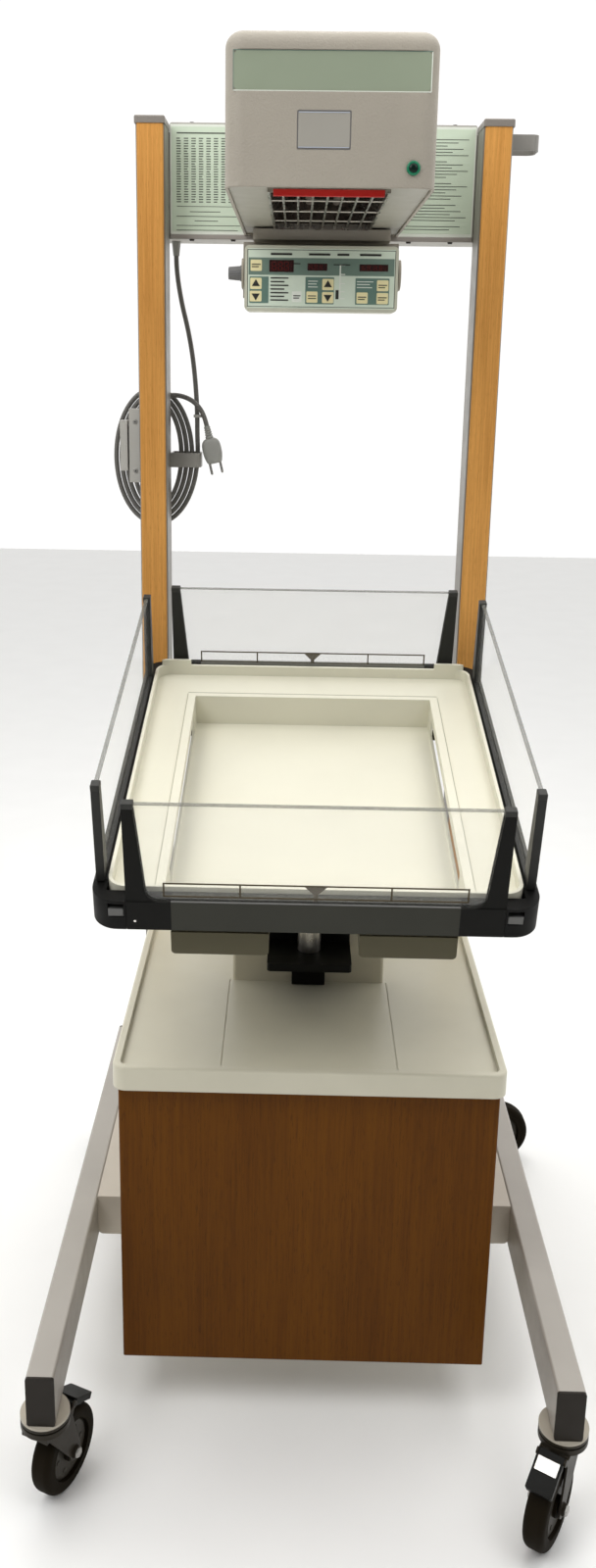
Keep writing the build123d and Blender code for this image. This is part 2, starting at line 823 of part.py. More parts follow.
# Bed chassis and tray, in the bed's own axes
def bed_chassis():
    rail_top = tray_floor_w - tray_base
    body = block(-chassis_rail_outer, chassis_rail_outer, chassis_plate_v,
                 chassis_plate_v + chassis_plate, -rail_height - chassis_plate, rail_top)
    for side in (-1, 1):
        x0 = min(side * chassis_rail_inner, side * chassis_rail_outer)
        x1 = max(side * chassis_rail_inner, side * chassis_rail_outer)
        rail = block(x0, x1, chassis_plate_v, bed_length - bar_depth, -rail_height, rail_top)
        rail -= block(x0 + chassis_wall, x1 - chassis_wall, chassis_plate_v + chassis_wall,
                      bed_length - bar_depth - chassis_wall, -rail_height + chassis_wall,
                      rail_top - chassis_wall)
        body += rail
        p0 = min(side * pan_inner, side * pan_outer)
        p1 = max(side * pan_inner, side * pan_outer)
        pan = block(p0, p1, pan_front_v, pan_rear_v, pan_bottom_w, pan_top_w)
        low = edges_along(pan, Axis.Y, lambda c: c.Z < (pan_bottom_w + pan_top_w) / 2)
        pan = fillet(low, pan_round)
        pan -= block(p0 + pan_wall, p1 - pan_wall, pan_front_v + pan_wall,
                     pan_rear_v - pan_wall, pan_bottom_w + pan_wall, pan_top_w - pan_wall)
        body += pan
        foot0 = min(side * (pan_outer - chassis_wall), side * chassis_rail_outer)
        foot1 = max(side * (pan_outer - chassis_wall), side * chassis_rail_outer)
        drop0 = min(side * (chassis_rail_outer - hanger_width), side * chassis_rail_outer)
        drop1 = max(side * (chassis_rail_outer - hanger_width), side * chassis_rail_outer)
        for v in (recess_front_v, recess_rear_v - hanger_width):
            body += block(foot0, foot1, v, v + hanger_width, pan_top_w - chassis_wall,
                          pan_top_w)
            body += block(drop0, drop1, v, v + hanger_width, pan_top_w - chassis_wall,
                          -rail_height)
    rear_bar = block(-bar_end_x, bar_end_x, bed_length - bar_depth, bed_length, -rail_height, 0)
    body += rear_bar
    body += block(-chassis_rail_outer, chassis_rail_outer, bed_length - bar_depth - chassis_plate,
                  bed_length - bar_depth, -rail_height, rail_top)
    socket_v0 = rear_panel_v - post_depth / 2 - slide_gap
    socket_v1 = rear_panel_v + post_depth / 2 + slide_gap
    for side in (-1, 1):
        s0 = min(side * (bar_end_x - post_foot), side * (bar_end_x - post_tip))
        s1 = max(side * (bar_end_x - post_foot), side * (bar_end_x - post_tip))
        body -= block(s0 - slide_gap, s1 + slide_gap, socket_v0, socket_v1,
                      -rear_post_socket - slide_gap, overrun)
    body += block(-pan_inner - pan_wall, pan_inner + pan_wall, bridge_front_v, bridge_rear_v,
                  bridge_bottom_w, recess_floor_w - recess_floor)
    pivot_v, pivot_w = hinge_in_bed()
    body += rod_x(-pan_inner - pan_wall, pan_inner + pan_wall, pivot_v, pivot_w,
                  hinge_pin_radius)
    return body


def hinge_in_bed():
    """The tilt axis in the bed's own axes."""
    dy = hinge_y - bed_foot_y
    dz = hinge_z - bed_foot_z
    return (dy * tilt_cos + dz * tilt_sin, -dy * tilt_sin + dz * tilt_cos)


def corner_block_piece(front):
    """One black corner of the bed rail, on the right-hand side."""
    v0 = 0 if front else bed_length - corner_block
    v1 = corner_block if front else bed_length
    piece = block(bar_end_x + bar_gap, bed_half, v0, v1, -rail_height, 0)
    outer_v = v0 if front else v1
    piece = fillet(edges_along(piece, Axis.Z, lambda c: c.X > (bar_end_x + bed_half) / 2
                               and abs(c.Y - outer_v) < corner_block / 2), corner_radius)
    low = min(chassis_plate_v, v1) if front else bed_length - bar_depth
    c0 = low if front else v0 - overrun
    c1 = v1 + overrun if front else low
    piece -= block(bar_end_x - overrun, chassis_rail_outer, c0, c1, -rail_height - overrun,
                   overrun)
    t0 = tray_front_v - slide_gap if front else v0 - overrun
    t1 = v1 + overrun if front else tray_rear_v + slide_gap
    piece -= block(bar_end_x - overrun, tray_half + slide_gap, t0, t1,
                   tray_floor_w - tray_base - slide_gap, overrun)
    inner_v = v1 if front else v0
    reach = panel_pin_length + 2 * slide_gap
    b0 = inner_v - reach if front else inner_v - overrun
    b1 = inner_v + overrun if front else inner_v + reach
    piece -= rod_y(side_pivot_x, b0, b1, panel_pivot_w, panel_pin_radius + run_gap)
    if front:
        piece -= rod_x(bar_end_x - overrun, bar_end_x + bar_gap + reach, front_pivot_v,
                       panel_pivot_w, panel_pin_radius + run_gap)
        piece -= block(latch_x - latch_width / 2 - slide_gap, latch_x + latch_width / 2
                       + slide_gap, -overrun, latch_depth, latch_bottom_w - slide_gap,
                       latch_bottom_w + latch_height + latch_slot)
    return piece


def latch_tab():
    tab = block(latch_x - latch_width / 2, latch_x + latch_width / 2, latch_proud,
                latch_depth - latch_travel - slide_gap, latch_bottom_w,
                latch_bottom_w + latch_height)
    return fillet(tab.faces().sort_by(Axis.Y)[0].edges(), latch_proud)


def bed_tray():
    base_w = tray_floor_w - tray_base
    tray = block(-tray_half, tray_half, tray_front_v, tray_rear_v, base_w, tray_rim_w)
    tray = fillet(tray.edges().filter_by(Axis.Z), tray_corner)
    hollow = block(-tray_half + tray_wall, tray_half - tray_wall, tray_front_v + tray_wall,
                   tray_rear_v - tray_wall, tray_floor_w, tray_rim_w + overrun)
    hollow = fillet(hollow.edges().filter_by(Axis.Z), tray_corner - tray_wall)
    tray -= hollow
    for side in (-1, 1):
        e0 = min(side * (tray_half - tray_ear_run), side * (tray_half - tray_wall / 2))
        e1 = max(side * (tray_half - tray_ear_run), side * (tray_half - tray_wall / 2))
        ear = block(e0, e1, tray_rear_v - tray_wall, tray_rear_v, base_w,
                    tray_rim_w + tray_ear_rise)
        tray += ear & fillet(block(-tray_half, tray_half, tray_front_v, tray_rear_v, base_w,
                                   tray_rim_w + tray_ear_rise).edges().filter_by(Axis.Z),
                             tray_corner)
    outer_x = recess_half + recess_wall
    lip = block(-recess_half - lip_width, recess_half + lip_width, tray_front_v + tray_wall,
                recess_rear_v + lip_width, tray_floor_w, tray_floor_w + lip_height)
    tray += lip
    tray += block(-outer_x, outer_x, recess_front_v - recess_wall, recess_rear_v + recess_wall,
                  recess_floor_w - recess_floor, tray_floor_w)
    tray -= block(-recess_half, recess_half, recess_front_v, recess_rear_v, recess_floor_w,
                  tray_rim_w + overrun)
    for side in (-1, 1):
        w0 = min(side * (recess_half - overrun), side * (outer_x + overrun))
        w1 = max(side * (recess_half - overrun), side * (outer_x + overrun))
        tray -= block(w0, w1, window_front_v, window_rear_v, window_low_w, window_high_w)
    return tray


# Clear panels and their frames, in the bed's own axes
def post_outline(bottom):
    """The tapered post at the right end of a panel, as x, w points."""
    inner_foot = bar_end_x - post_foot
    inner_tip = bar_end_x - post_tip
    return [(inner_foot, bottom), (bar_end_x, bottom), (bar_end_x, panel_height),
            (inner_tip, panel_height)]


def end_panel_glass(v_mid):
    foot = bar_end_x - post_foot + glass_bite
    tip = bar_end_x - post_tip + glass_bite
    points = [(-foot, -glass_inset), (foot, -glass_inset), (tip, panel_height), (-tip,
              panel_height)]
    return outline_xz(points, v_mid - glass_thick / 2, v_mid + glass_thick / 2)


def front_panel_frame():
    bar = block(-bar_end_x, bar_end_x, 0, bar_depth, -rail_height, 0)
    for side in (-1, 1):
        p0 = min(side * bar_end_x, side * (bar_end_x + panel_pin_length))
        p1 = max(side * bar_end_x, side * (bar_end_x + panel_pin_length))
        bar += rod_x(p0, p1, front_pivot_v, panel_pivot_w, panel_pin_radius)
    post = outline_xz(post_outline(-panel_pin_radius), post_inset, post_inset + post_depth)
    bar += post + mirrored(post)
    feet = edges_along(bar, Axis.Y, lambda c: abs(abs(c.X) - (bar_end_x - post_foot)) < post_tip
                       and abs(c.Z) < post_inset)
    if feet:
        bar = fillet(feet, post_fillet)
    return bar - end_panel_glass(front_glass_v)


front_glass_v = post_inset + post_depth / 2


def rear_panel_frame():
    v0 = rear_panel_v - post_depth / 2
    v1 = rear_panel_v + post_depth / 2
    frame = block(-bar_end_x, bar_end_x, v0, v1, 0, track_height)
    post = outline_xz(post_outline(0), v0, v1)
    post += block(bar_end_x - post_foot, bar_end_x - post_tip, v0, v1, -rear_post_socket, 0)
    frame += post + mirrored(post)
    return frame - rear_panel_glass()


def rear_panel_glass():
    return end_panel_glass(rear_panel_v) - block(-bed_half, bed_half, 0, bed_length + overrun,
                                                 -rail_height, track_height / 2)


def side_glass_x():
    return side_post_inner + side_post_depth / 2


def side_post_points(front):
    """A side post as v, w points, upright on its outer edge."""
    outer = side_panel_front_v if front else side_panel_rear_v
    way = 1 if front else -1
    return [(outer, side_post_lift), (outer + way * post_foot, side_post_lift),
            (outer + way * post_tip, panel_height), (outer, panel_height)]


def side_panel_glass():
    """Clear side on the right."""
    x = side_glass_x()
    foot = post_foot - glass_bite
    tip = post_tip - glass_bite
    points = [(side_panel_front_v + foot, track_height / 2),
              (side_panel_rear_v - foot, track_height / 2),
              (side_panel_rear_v - tip, panel_height), (side_panel_front_v + tip, panel_height)]
    return outline_yz(points, x - glass_thick / 2, x + glass_thick / 2)


def side_panel_frame():
    """Bar, track and posts on the right."""
    v0 = corner_block + bar_gap
    v1 = bed_length - corner_block - bar_gap
    bar = block(bed_half - side_bar_width, bed_half, v0, v1, -rail_height, 0)
    bar += block(side_post_inner, side_post_inner + side_post_depth, v0, v1, 0, track_height)
    for front in (True, False):
        bar += outline_yz(side_post_points(front), side_post_inner,
                          side_post_inner + side_post_depth)
    bar += rod_y(side_pivot_x, v0 - panel_pin_length, v0, panel_pivot_w, panel_pin_radius)
    bar += rod_y(side_pivot_x, v1, v1 + panel_pin_length, panel_pivot_w, panel_pin_radius)
    return bar - side_panel_glass()


# Uprights, wood strips, caps
strip_half = upright_width / 2 - strip_edge
upright_mid_x = upright_inner_x + upright_width / 2


def upright():
    post = block(upright_inner_x, upright_outer_x, upright_front_y, upright_rear_y, beam_top,
                 upright_top)
    post = fillet(post.edges().filter_by(Axis.Z), upright_round)
    post -= block(upright_inner_x + upright_wall, upright_outer_x - upright_wall,
                  upright_front_y + strip_sink + upright_wall, upright_rear_y - upright_wall,
                  beam_top - overrun, upright_top + overrun)
    post -= block(upright_mid_x - strip_half, upright_mid_x + strip_half,
                  upright_front_y - overrun, upright_front_y + strip_sink,
                  shelf_field, upright_top + overrun)
    return post


def wood_strip():
    strip = block(upright_mid_x - strip_half, upright_mid_x + strip_half,
                  upright_front_y + strip_sink - strip_thick, upright_front_y + strip_sink,
                  shelf_field, upright_top)
    return fillet(edges_along(strip, Axis.Z, lambda c: c.Y < upright_front_y), strip_round)


def upright_cap():
    front = upright_front_y + strip_sink - strip_thick - cap_proud
    top = block(upright_inner_x - cap_proud / 2, upright_outer_x + cap_proud, front,
                upright_rear_y - slide_gap, upright_top, upright_top + cap_height)
    top = fillet(top.edges().filter_by(Axis.Z), cap_round)
    top = fillet(top.faces().sort_by(Axis.Z)[-1].edges(), cap_round)
    inset = upright_wall + run_gap
    top += block(upright_inner_x + inset, upright_outer_x - inset,
                 upright_front_y + strip_sink + inset, upright_rear_y - inset,
                 upright_top - cap_spigot, upright_top)
    return top


# Header behind the upright tops
header_front_y = upright_rear_y - header_nose
header_rear_y = upright_rear_y + header_depth
nose_half = upright_inner_x - cap_proud / 2 - slide_gap


def header_housing():
    shell = block(-nose_half, nose_half, header_front_y, header_rear_y, header_bottom,
                  header_top)
    shell = fillet(edges_along(shell, Axis.Y, lambda c: c.Z > header_bottom + header_wall),
                   header_round)
    shell += block(-header_half, header_half, upright_rear_y, header_rear_y, header_bottom,
                   upright_top - slide_gap)
    shell -= block(-nose_half + header_wall, nose_half - header_wall,
                   header_front_y + header_wall, header_rear_y - cover_thick,
                   header_bottom + header_wall, header_top - header_wall)
    shell -= block(-nose_half + header_wall, nose_half - header_wall,
                   header_rear_y - cover_thick, header_rear_y + overrun,
                   header_bottom + header_wall, header_top - header_wall)
    return shell - rod_z(gland_x, gland_y, header_bottom - overrun,
                         header_bottom + header_wall + overrun, gland_radius / 2)


def header_cover():
    return block(-nose_half + header_wall, nose_half - header_wall, header_rear_y - cover_thick,
                 header_rear_y, header_bottom + header_wall, header_top - header_wall)


def power_module():
    y1 = header_rear_y - cover_thick - slide_gap
    box = block(-module_half, module_half, y1 - module_depth, y1, header_bottom + header_wall,
                header_bottom + header_wall + module_height)
    return fillet(box.edges().filter_by(Axis.Z), header_round)


# Heater head
def head_shell():
    shell = block(-head_half, head_half, head_front_y, header_front_y, head_bottom, head_top)
    shell = fillet(edges_along(shell, Axis.Z, lambda c: c.Y < 0), head_front_round)
    shell = fillet(edges_along(shell, Axis.Y, lambda c: c.Z > head_bottom + head_wall)
                   + [e for e in shell.faces().sort_by(Axis.Z)[-1].edges()
                      if e.center().Y < header_front_y - head_wall
                      and abs(e.center().X) < head_half - head_wall
                      or e.geom_type == GeomType.CIRCLE], head_top_round)
    inner = block(-head_half + head_wall, head_half - head_wall, head_front_y + head_wall,
                  header_front_y - head_wall, head_bottom - overrun, head_top - head_wall)
    inner = fillet(edges_along(inner, Axis.Z, lambda c: c.Y < 0), head_front_round - head_wall)
    inner = fillet(inner.faces().sort_by(Axis.Z)[-1].edges(), head_top_round - head_wall)
    shell -= inner
    return shell - block(-plate_half, plate_half, head_front_y - overrun,
                         head_front_y + plate_sink, plate_bottom, plate_top)


def underpan():
    z0 = head_bottom + underpan_lift
    pan = block(-head_half + head_wall, head_half - head_wall, head_front_y + head_wall,
                header_front_y - head_wall, z0, z0 + underpan_thick)
    pan = fillet(edges_along(pan, Axis.Z, lambda c: c.Y < 0), head_front_round - head_wall)
    return pan - block(-guard_half, guard_half, guard_front_y, guard_rear_y,
                       z0 - overrun, z0 + underpan_thick + overrun)


def reflector():
    foot_z = head_bottom + underpan_lift + underpan_thick
    y0 = guard_front_y + reflector_margin
    y1 = guard_rear_y - reflector_margin
    outer = [(-reflector_foot_half, foot_z), (-reflector_top_half, reflector_top),
             (reflector_top_half, reflector_top), (reflector_foot_half, foot_z)]
    inset = reflector_wall * 1.3
    inner = [(-reflector_foot_half + inset, foot_z - overrun),
             (-reflector_foot_half + inset, foot_z),
             (-reflector_top_half + inset, reflector_top - reflector_wall),
             (reflector_top_half - inset, reflector_top - reflector_wall),
             (reflector_foot_half - inset, foot_z), (reflector_foot_half - inset,
                                                     foot_z - overrun)]
    shell = outline_xz(outer, y0, y1)
    shell -= outline_xz(inner, y0 + reflector_wall, y1 - reflector_wall)
    for side in (-1, 1):
        x0 = min(side * (reflector_foot_half - inset), side * (reflector_foot_half
                                                             + reflector_flange))
        x1 = max(side * (reflector_foot_half - inset), side * (reflector_foot_half
                                                             + reflector_flange))
        shell += block(x0, x1, y0, y1, foot_z, foot_z + reflector_wall)
        shell -= rod_y(side * element_half_pitch, y0 - overrun, y1 + overrun, element_z,
                       element_radius + element_fit)
    return shell


def heater_element(side):
    y0 = guard_front_y + reflector_margin - element_stub
    y1 = guard_rear_y - reflector_margin + element_stub
    return rod_y(side * element_half_pitch, y0, y1, element_z, element_radius)


def wire_guard():
    z0 = head_bottom - guard_frame_height / 4
    z1 = z0 + guard_frame_height
    frame = block(-guard_half, guard_half, guard_front_y, guard_rear_y, z0, z1)
    frame -= block(-guard_half + guard_frame / 2, guard_half - guard_frame / 2,
                   guard_front_y + guard_frame / 2, guard_rear_y - guard_frame / 2,
                   z0 - overrun, z1 + overrun)
    wire_z = z0 + guard_wire
    pitch_x = 2 * guard_half / guard_columns
    for i in range(1, guard_columns):
        x = -guard_half + i * pitch_x
        frame += rod_y(x, guard_front_y + guard_frame / 4, guard_rear_y - guard_frame / 4,
                       wire_z, guard_wire / 2)
    rows = int((guard_rear_y - guard_front_y) / guard_row_pitch)
    for i in range(1, rows + 1):
        y = guard_front_y + i * guard_row_pitch
        frame += rod_x(-guard_half + guard_frame / 4, guard_half - guard_frame / 4, y,
                       wire_z + guard_wire * 0.7, guard_wire / 2)
    return frame


# Control box, its bracket and knob
def control_bracket():
    neck = block(-neck_half, neck_half, box_front_y + neck_setback, header_front_y,
                 neck_bottom, head_bottom)
    neck = fillet(edges_along(neck, Axis.Z, lambda c: c.Y < box_rear_y), neck_round)
    ear_x0 = box_half + yoke_gap
    ear_x1 = ear_x0 + yoke_ear
    bracket = neck + block(-ear_x1, ear_x1, yoke_front_y, yoke_front_y + yoke_thick,
                           yoke_bottom, neck_bottom + yoke_gap)
    for side in (-1, 1):
        x0 = min(side * ear_x0, side * ear_x1)
        x1 = max(side * ear_x0, side * ear_x1)
        ear = block(x0, x1, box_pivot_y, yoke_front_y, box_pivot_z - yoke_ear_radius,
                    box_pivot_z + yoke_ear_radius)
        ear += rod_x(x0, x1, box_pivot_y, box_pivot_z, yoke_ear_radius)
        bracket += ear
        bracket -= rod_x(x0 - overrun, x1 + overrun, box_pivot_y, box_pivot_z,
                         knob_bolt_radius + run_gap)
    return bracket


def control_case():
    case = block(-box_half, box_half, box_front_y, box_rear_y, box_bottom, box_top)
    case = fillet(case.edges().filter_by(Axis.Y), box_round)
    case = fillet(case.faces().sort_by(Axis.Y)[-1].edges(), box_wall)
    inner = block(-box_half + box_wall, box_half - box_wall, box_front_y + panel_thick,
                  box_rear_y - box_wall, box_bottom + box_wall, box_top - box_wall)
    case -= inner
    case -= block(-box_half + panel_margin, box_half - panel_margin, box_front_y - overrun,
                  box_front_y + panel_thick, box_bottom + panel_margin, box_top - panel_margin)
    for side in (-1, 1):
        x0 = min(side * (box_half - box_wall), side * (box_half - box_wall - knob_boss))
        x1 = max(side * (box_half - box_wall), side * (box_half - box_wall - knob_boss))
        case += rod_x(x0, x1, box_pivot_y, box_pivot_z, 2 * knob_bolt_radius)
        case -= rod_x(min(side * (box_half + overrun), side * (box_half - knob_bolt_reach)),
                      max(side * (box_half + overrun), side * (box_half - knob_bolt_reach)),
                      box_pivot_y, box_pivot_z, knob_bolt_radius + run_gap)
    plate_y = box_front_y + panel_thick + circuit_setback
    for side in (-1, 1):
        for z in (box_bottom + 2 * circuit_margin, box_top - 2 * circuit_margin):
            case += rod_y(side * (box_half - 3 * circuit_margin), plate_y + circuit_thick,
                          box_rear_y - box_wall / 2, z, circuit_boss_radius)
    return case


def control_panel():
    return block(-box_half + panel_margin, box_half - panel_margin, box_front_y,
                 box_front_y + panel_thick, box_bottom + panel_margin, box_top - panel_margin)


def circuit_board():
    y = box_front_y + panel_thick + circuit_setback
    margin = box_wall + circuit_margin
    return block(-box_half + margin, box_half - margin, y, y + circuit_thick,
                 box_bottom + margin, box_top - margin)


def tilt_knob():
    """Clamp knob on the left, with the bolt that the box turns on."""
    x = -box_half - yoke_gap - yoke_ear
    knob = rod_x(x - knob_boss, x, box_pivot_y, box_pivot_z, knob_boss_radius)
    grip = Solid.make_cone(knob_radius, knob_tip_radius, knob_length,
                           Plane(origin=(x - knob_boss, box_pivot_y, box_pivot_z),
                                 z_dir=(-1, 0, 0)))
    knob += grip
    return knob + rod_x(x - knob_boss, -box_half + knob_bolt_reach - slide_gap, box_pivot_y,
                        box_pivot_z, knob_bolt_radius)


# Hooks and cord bracket
def rail_hook(x_seat, way, z):
    """A flat band bent to a loop that stands out of an upright's side."""
    x_out = x_seat + way * hook_reach
    x0 = min(x_seat, x_out)
    x1 = max(x_seat, x_out)
    y0 = hook_rear_y - hook_run
    band = block(x0, x1, y0, hook_rear_y, z, z + hook_height)
    far = edges_along(band, Axis.Z, lambda c: abs(c.X - x_out) < hook_reach / 2)
    band = fillet(far, hook_run / 4)
    hollow = block(x0 + hook_band, x1 - hook_band, y0 + hook_band, hook_rear_y - hook_band,
                   z - overrun, z + hook_height + overrun)
    far = edges_along(hollow, Axis.Z, lambda c: abs(c.X - x_out) < hook_reach / 2)
    return band - fillet(far, hook_run / 4 - hook_band)


def cord_bracket():
    x = -upright_outer_x
    y0 = cord_bracket_front_y
    y1 = y0 + cord_bracket_depth
    plate = block(x - cord_bracket_plate, x, y0, y1, cord_bracket_bottom, cord_bracket_top)
    z0 = cord_bracket_bottom + cord_bracket_lip_margin
    z1 = cord_bracket_top - cord_bracket_lip_margin
    arm = block(x - cord_bracket_reach, x - cord_bracket_plate, y1 - cord_bracket_web, y1,
                z0, z1)
    lip = block(x - cord_bracket_reach, x - cord_bracket_reach + cord_bracket_lip, y0, y1,
                z0, z1)
    return plate + arm + lip


# Mains cord
def biarc(p0, p1, vertical_first):
    """Two arcs over one quarter of an oval, from p0 to p1, with square ends."""
    if vertical_first:
        a, b = p0[0], p1[1]
    else:
        a, b = p1[0], p0[1]
    wide, tall = abs(a), abs(b)
    small = coil_end_share * wide * wide / tall
    large = (wide * wide + (tall - small) ** 2 - small * small) / (2 * (wide - small))
    big_x = math.copysign(1, a) * (wide - large)
    small_z = math.copysign(1, b) * (tall - small)
    big_centre = (big_x, 0)
    small_centre = (0, small_z)
    way_x = -big_x
    way_z = small_z
    length = math.hypot(way_x, way_z)
    join = (big_centre[0] + way_x / length * large, big_centre[1] + way_z / length * large)

    def middle(centre, radius, start, end):
        mx = (start[0] + end[0]) / 2 - centre[0]
        mz = (start[1] + end[1]) / 2 - centre[1]
        scale = radius / math.hypot(mx, mz)
        return (centre[0] + mx * scale, centre[1] + mz * scale)

    if vertical_first:
        return [(p0, middle(big_centre, large, p0, join), join),
                (join, middle(small_centre, small, join, p1), p1)]
    return [(p0, middle(small_centre, small, p0, join), join),
            (join, middle(big_centre, large, join, p1), p1)]


def coil_stations():
    """Ends of the coil's quarter turns, clockwise from the right, as x, z."""
    ways = [(1, 0), (0, -1), (-1, 0), (0, 1)]
    points = []
    for i in range(coil_quarters + 1):
        shrink = i * coil_pitch / 4
        if i == coil_quarters:
            shrink += coil_end_dip
        wx, wz = ways[i % 4]
        points.append((wx * (coil_half_width - shrink), wz * (coil_half_height - shrink)))
    return points


def in_coil(x, z):
    """A place in the plane of the coil, from its middle."""
    return (coil_centre_x + x, coil_y, coil_centre_z + z)


def coil_path():
    """Three and a half oval turns in one plane, winding inwards."""
    stations = coil_stations()
    arcs = []
    for i in range(coil_quarters):
        arcs += biarc(stations[i], stations[i + 1], i % 2 == 0)
    first = stations[0]
    last = stations[-1]
    edges = [Line(in_coil(first[0], first[1] + cord_diameter), in_coil(*first))]
    for start, mid, end in arcs:
        edges.append(ThreePointArc(in_coil(*start), in_coil(*mid), in_coil(*end)))
    edges.append(Line(in_coil(*last), in_coil(last[0], last[1] + cord_diameter)))
    return Wire(edges)


def swept(path):
    """Round cord along a path, with its volume checked against its length."""
    start = path @ 0
    section = Plane(origin=start, z_dir=path % 0) * Circle(cord_diameter / 2)
    tube = sweep(section, path=path)
    area = math.pi * cord_diameter ** 2 / 4
    print("cord length", round(path.length, 1), "volume share",
          round(tube.volume / (area * path.length), 4))
    return tube


def coil_self_gap(path):
    """Least gap between turns, measured on points along the middle line."""
    count = 40 * coil_quarters
    points = [path @ (i / count) for i in range(count + 1)]
    away = int(count / coil_quarters * 2)
    least = min((points[i] - points[j]).length for i in range(count + 1)
                for j in range(i + away, count + 1))
    return least - cord_diameter


def near_coil(x, y, z):
    """A place beside the coil, from its middle."""
    return (coil_centre_x + x, coil_y + y, coil_centre_z + z)


def drop_route():
    """From the gland down to the first turn."""
    x_end = coil_centre_x + coil_half_width
    return [(gland_x, gland_y, header_bottom - gland_length),
            (gland_x, gland_y, header_bottom - 2 * gland_length),
            near_coil(46.0, 23.0, 266.0), near_coil(58.0, 16.0, 221.0),
            near_coil(67.0, 9.0, 174.0), near_coil(72.5, 3.5, 126.0),
            near_coil(coil_half_width, 0.6, 78.0), near_coil(coil_half_width, 0, 40.0),
            (x_end, coil_y, coil_centre_z + cord_diameter)]


def tail_route():
    """From the last turn up over the other turns and round to the plug."""
    x_start = coil_stations()[-1][0]
    tip_x, tip_z = in_plug(0, relief_length)
    run_x, run_z = in_plug(0, 1.8 * relief_length)
    return [near_coil(x_start, 0, cord_diameter), near_coil(x_start, 0, 24.0),
            near_coil(-37.5, -5.0, 41.5), near_coil(-33.5, -10.0, 59.0),
            near_coil(-25.5, -10.0, 76.0), near_coil(-13.5, -10.0, 90.5),
            near_coil(3.0, -10.0, 100.5), near_coil(21.5, -10.0, 106.0),
            near_coil(41.0, -10.0, 107.0), near_coil(60.0, -10.0, 102.0),
            near_coil(76.5, -10.0, 91.0), (run_x, plug_y, run_z), (tip_x, plug_y, tip_z)]


def in_plug(across, along):
    """A place on the leaning plug, as x, z, from the middle of its upper end."""
    lean = math.radians(plug_lean)
    return (plug_x + across * math.cos(lean) - along * math.sin(lean),
            plug_top + across * math.sin(lean) + along * math.cos(lean))


def rounded_path(points):
    """Straight runs joined by tangent arcs as large as the runs allow."""
    vectors = [Vector(*p) for p in points]
    kept = [vectors[0]]
    radii = []
    for i in range(1, len(vectors) - 1):
        before = vectors[i] - vectors[i - 1]
        after = vectors[i + 1] - vectors[i]
        turn = math.radians(before.get_angle(after))
        if turn < math.radians(0.5):
            continue
        kept.append(vectors[i])
        radii.append(0.45 * min(before.length, after.length) / math.tan(turn / 2))
    kept.append(vectors[-1])
    print("cord radii", [round(r) for r in radii])
    return FilletPolyline(*kept, radius=radii)


def mains_plug():
    body = block(-plug_half_width, plug_half_width, -plug_half_depth, plug_half_depth,
                 -plug_body, 0)
    body = fillet(body.edges().filter_by(Axis.Z), plug_round)
    body = fillet(body.faces().sort_by(Axis.Z)[-1].edges(), plug_round)
    body += Solid.make_cone(relief_foot_radius, relief_tip_radius, relief_length, Plane.XY)
    for side in (-1, 1):
        body += rod_z(side * plug_pin_half_pitch, 0, -plug_body - plug_pin_length, -plug_body,
                      plug_pin_radius)
    return Pos(plug_x, plug_y, plug_top) * Rot(0, -plug_lean, 0) * body


def cord_gland():
    cone = Solid.make_cone(gland_tip_radius, gland_radius, gland_length,
                           Plane(origin=(gland_x, gland_y, header_bottom - gland_length),
                                 z_dir=(0, 0, 1)))
    return cone + rod_z(gland_x, gland_y, header_bottom, header_bottom + header_wall,
                        gland_radius / 2 - run_gap)


def cord_tie():
    """A short clip round the cord, just above the coil."""
    x = coil_centre_x + coil_half_width
    ring = rod_z(x, coil_y, tie_bottom, tie_bottom + tie_width,
                 cord_diameter / 2 + tie_gap + tie_thick)
    ring += block(x, x + cord_diameter, coil_y - tie_thick, coil_y + tie_thick, tie_bottom,
                  tie_bottom + tie_width)
    return ring - rod_z(x, coil_y, tie_bottom - overrun, tie_bottom + tie_width + overrun,
                        cord_diameter / 2 + tie_gap)


def build_base():
    right = leg()
    save(right + mirrored(right), "leg_tubes")
    plugs = leg_plug(False) + leg_plug(True)
    save(plugs + mirrored(plugs), "leg_end_plugs")
    save(base_beam(), "base_beam")
    casters = (("front_left", -1, -swivel_y, front_left_angle, True),
               ("front_right", 1, -swivel_y, front_right_angle, True),
               ("rear_left", -1, swivel_y, rear_left_angle, False),
               ("rear_right", 1, swivel_y, rear_right_angle, False))
    for name, side, y, angle, braked in casters:
        save(place_caster(caster_fork(braked), side, y, angle), f"caster_fork_{name}")
        save(place_caster(caster_wheel(), side, y, angle), f"caster_wheel_{name}")
        if braked:
            save(place_caster(brake_pedal(), side, y, angle), f"brake_pedal_{name}")


def build_cabinet():
    save(cabinet_carcass(), "cabinet_carcass")
    save(cabinet_front(), "cabinet_front_panel")
    save(drawer(0), "drawer_lower")
    save(drawer(1), "drawer_upper")
    save(shelf_top(), "shelf_top")


def build_pedestal():
    save(bed_column(), "bed_column")
    save(pedestal_cover(), "pedestal_cover")
    save(tilt_bracket(), "tilt_bracket")
    save(actuator_tube(), "actuator_tube")
    save(actuator_rod(), "actuator_rod")


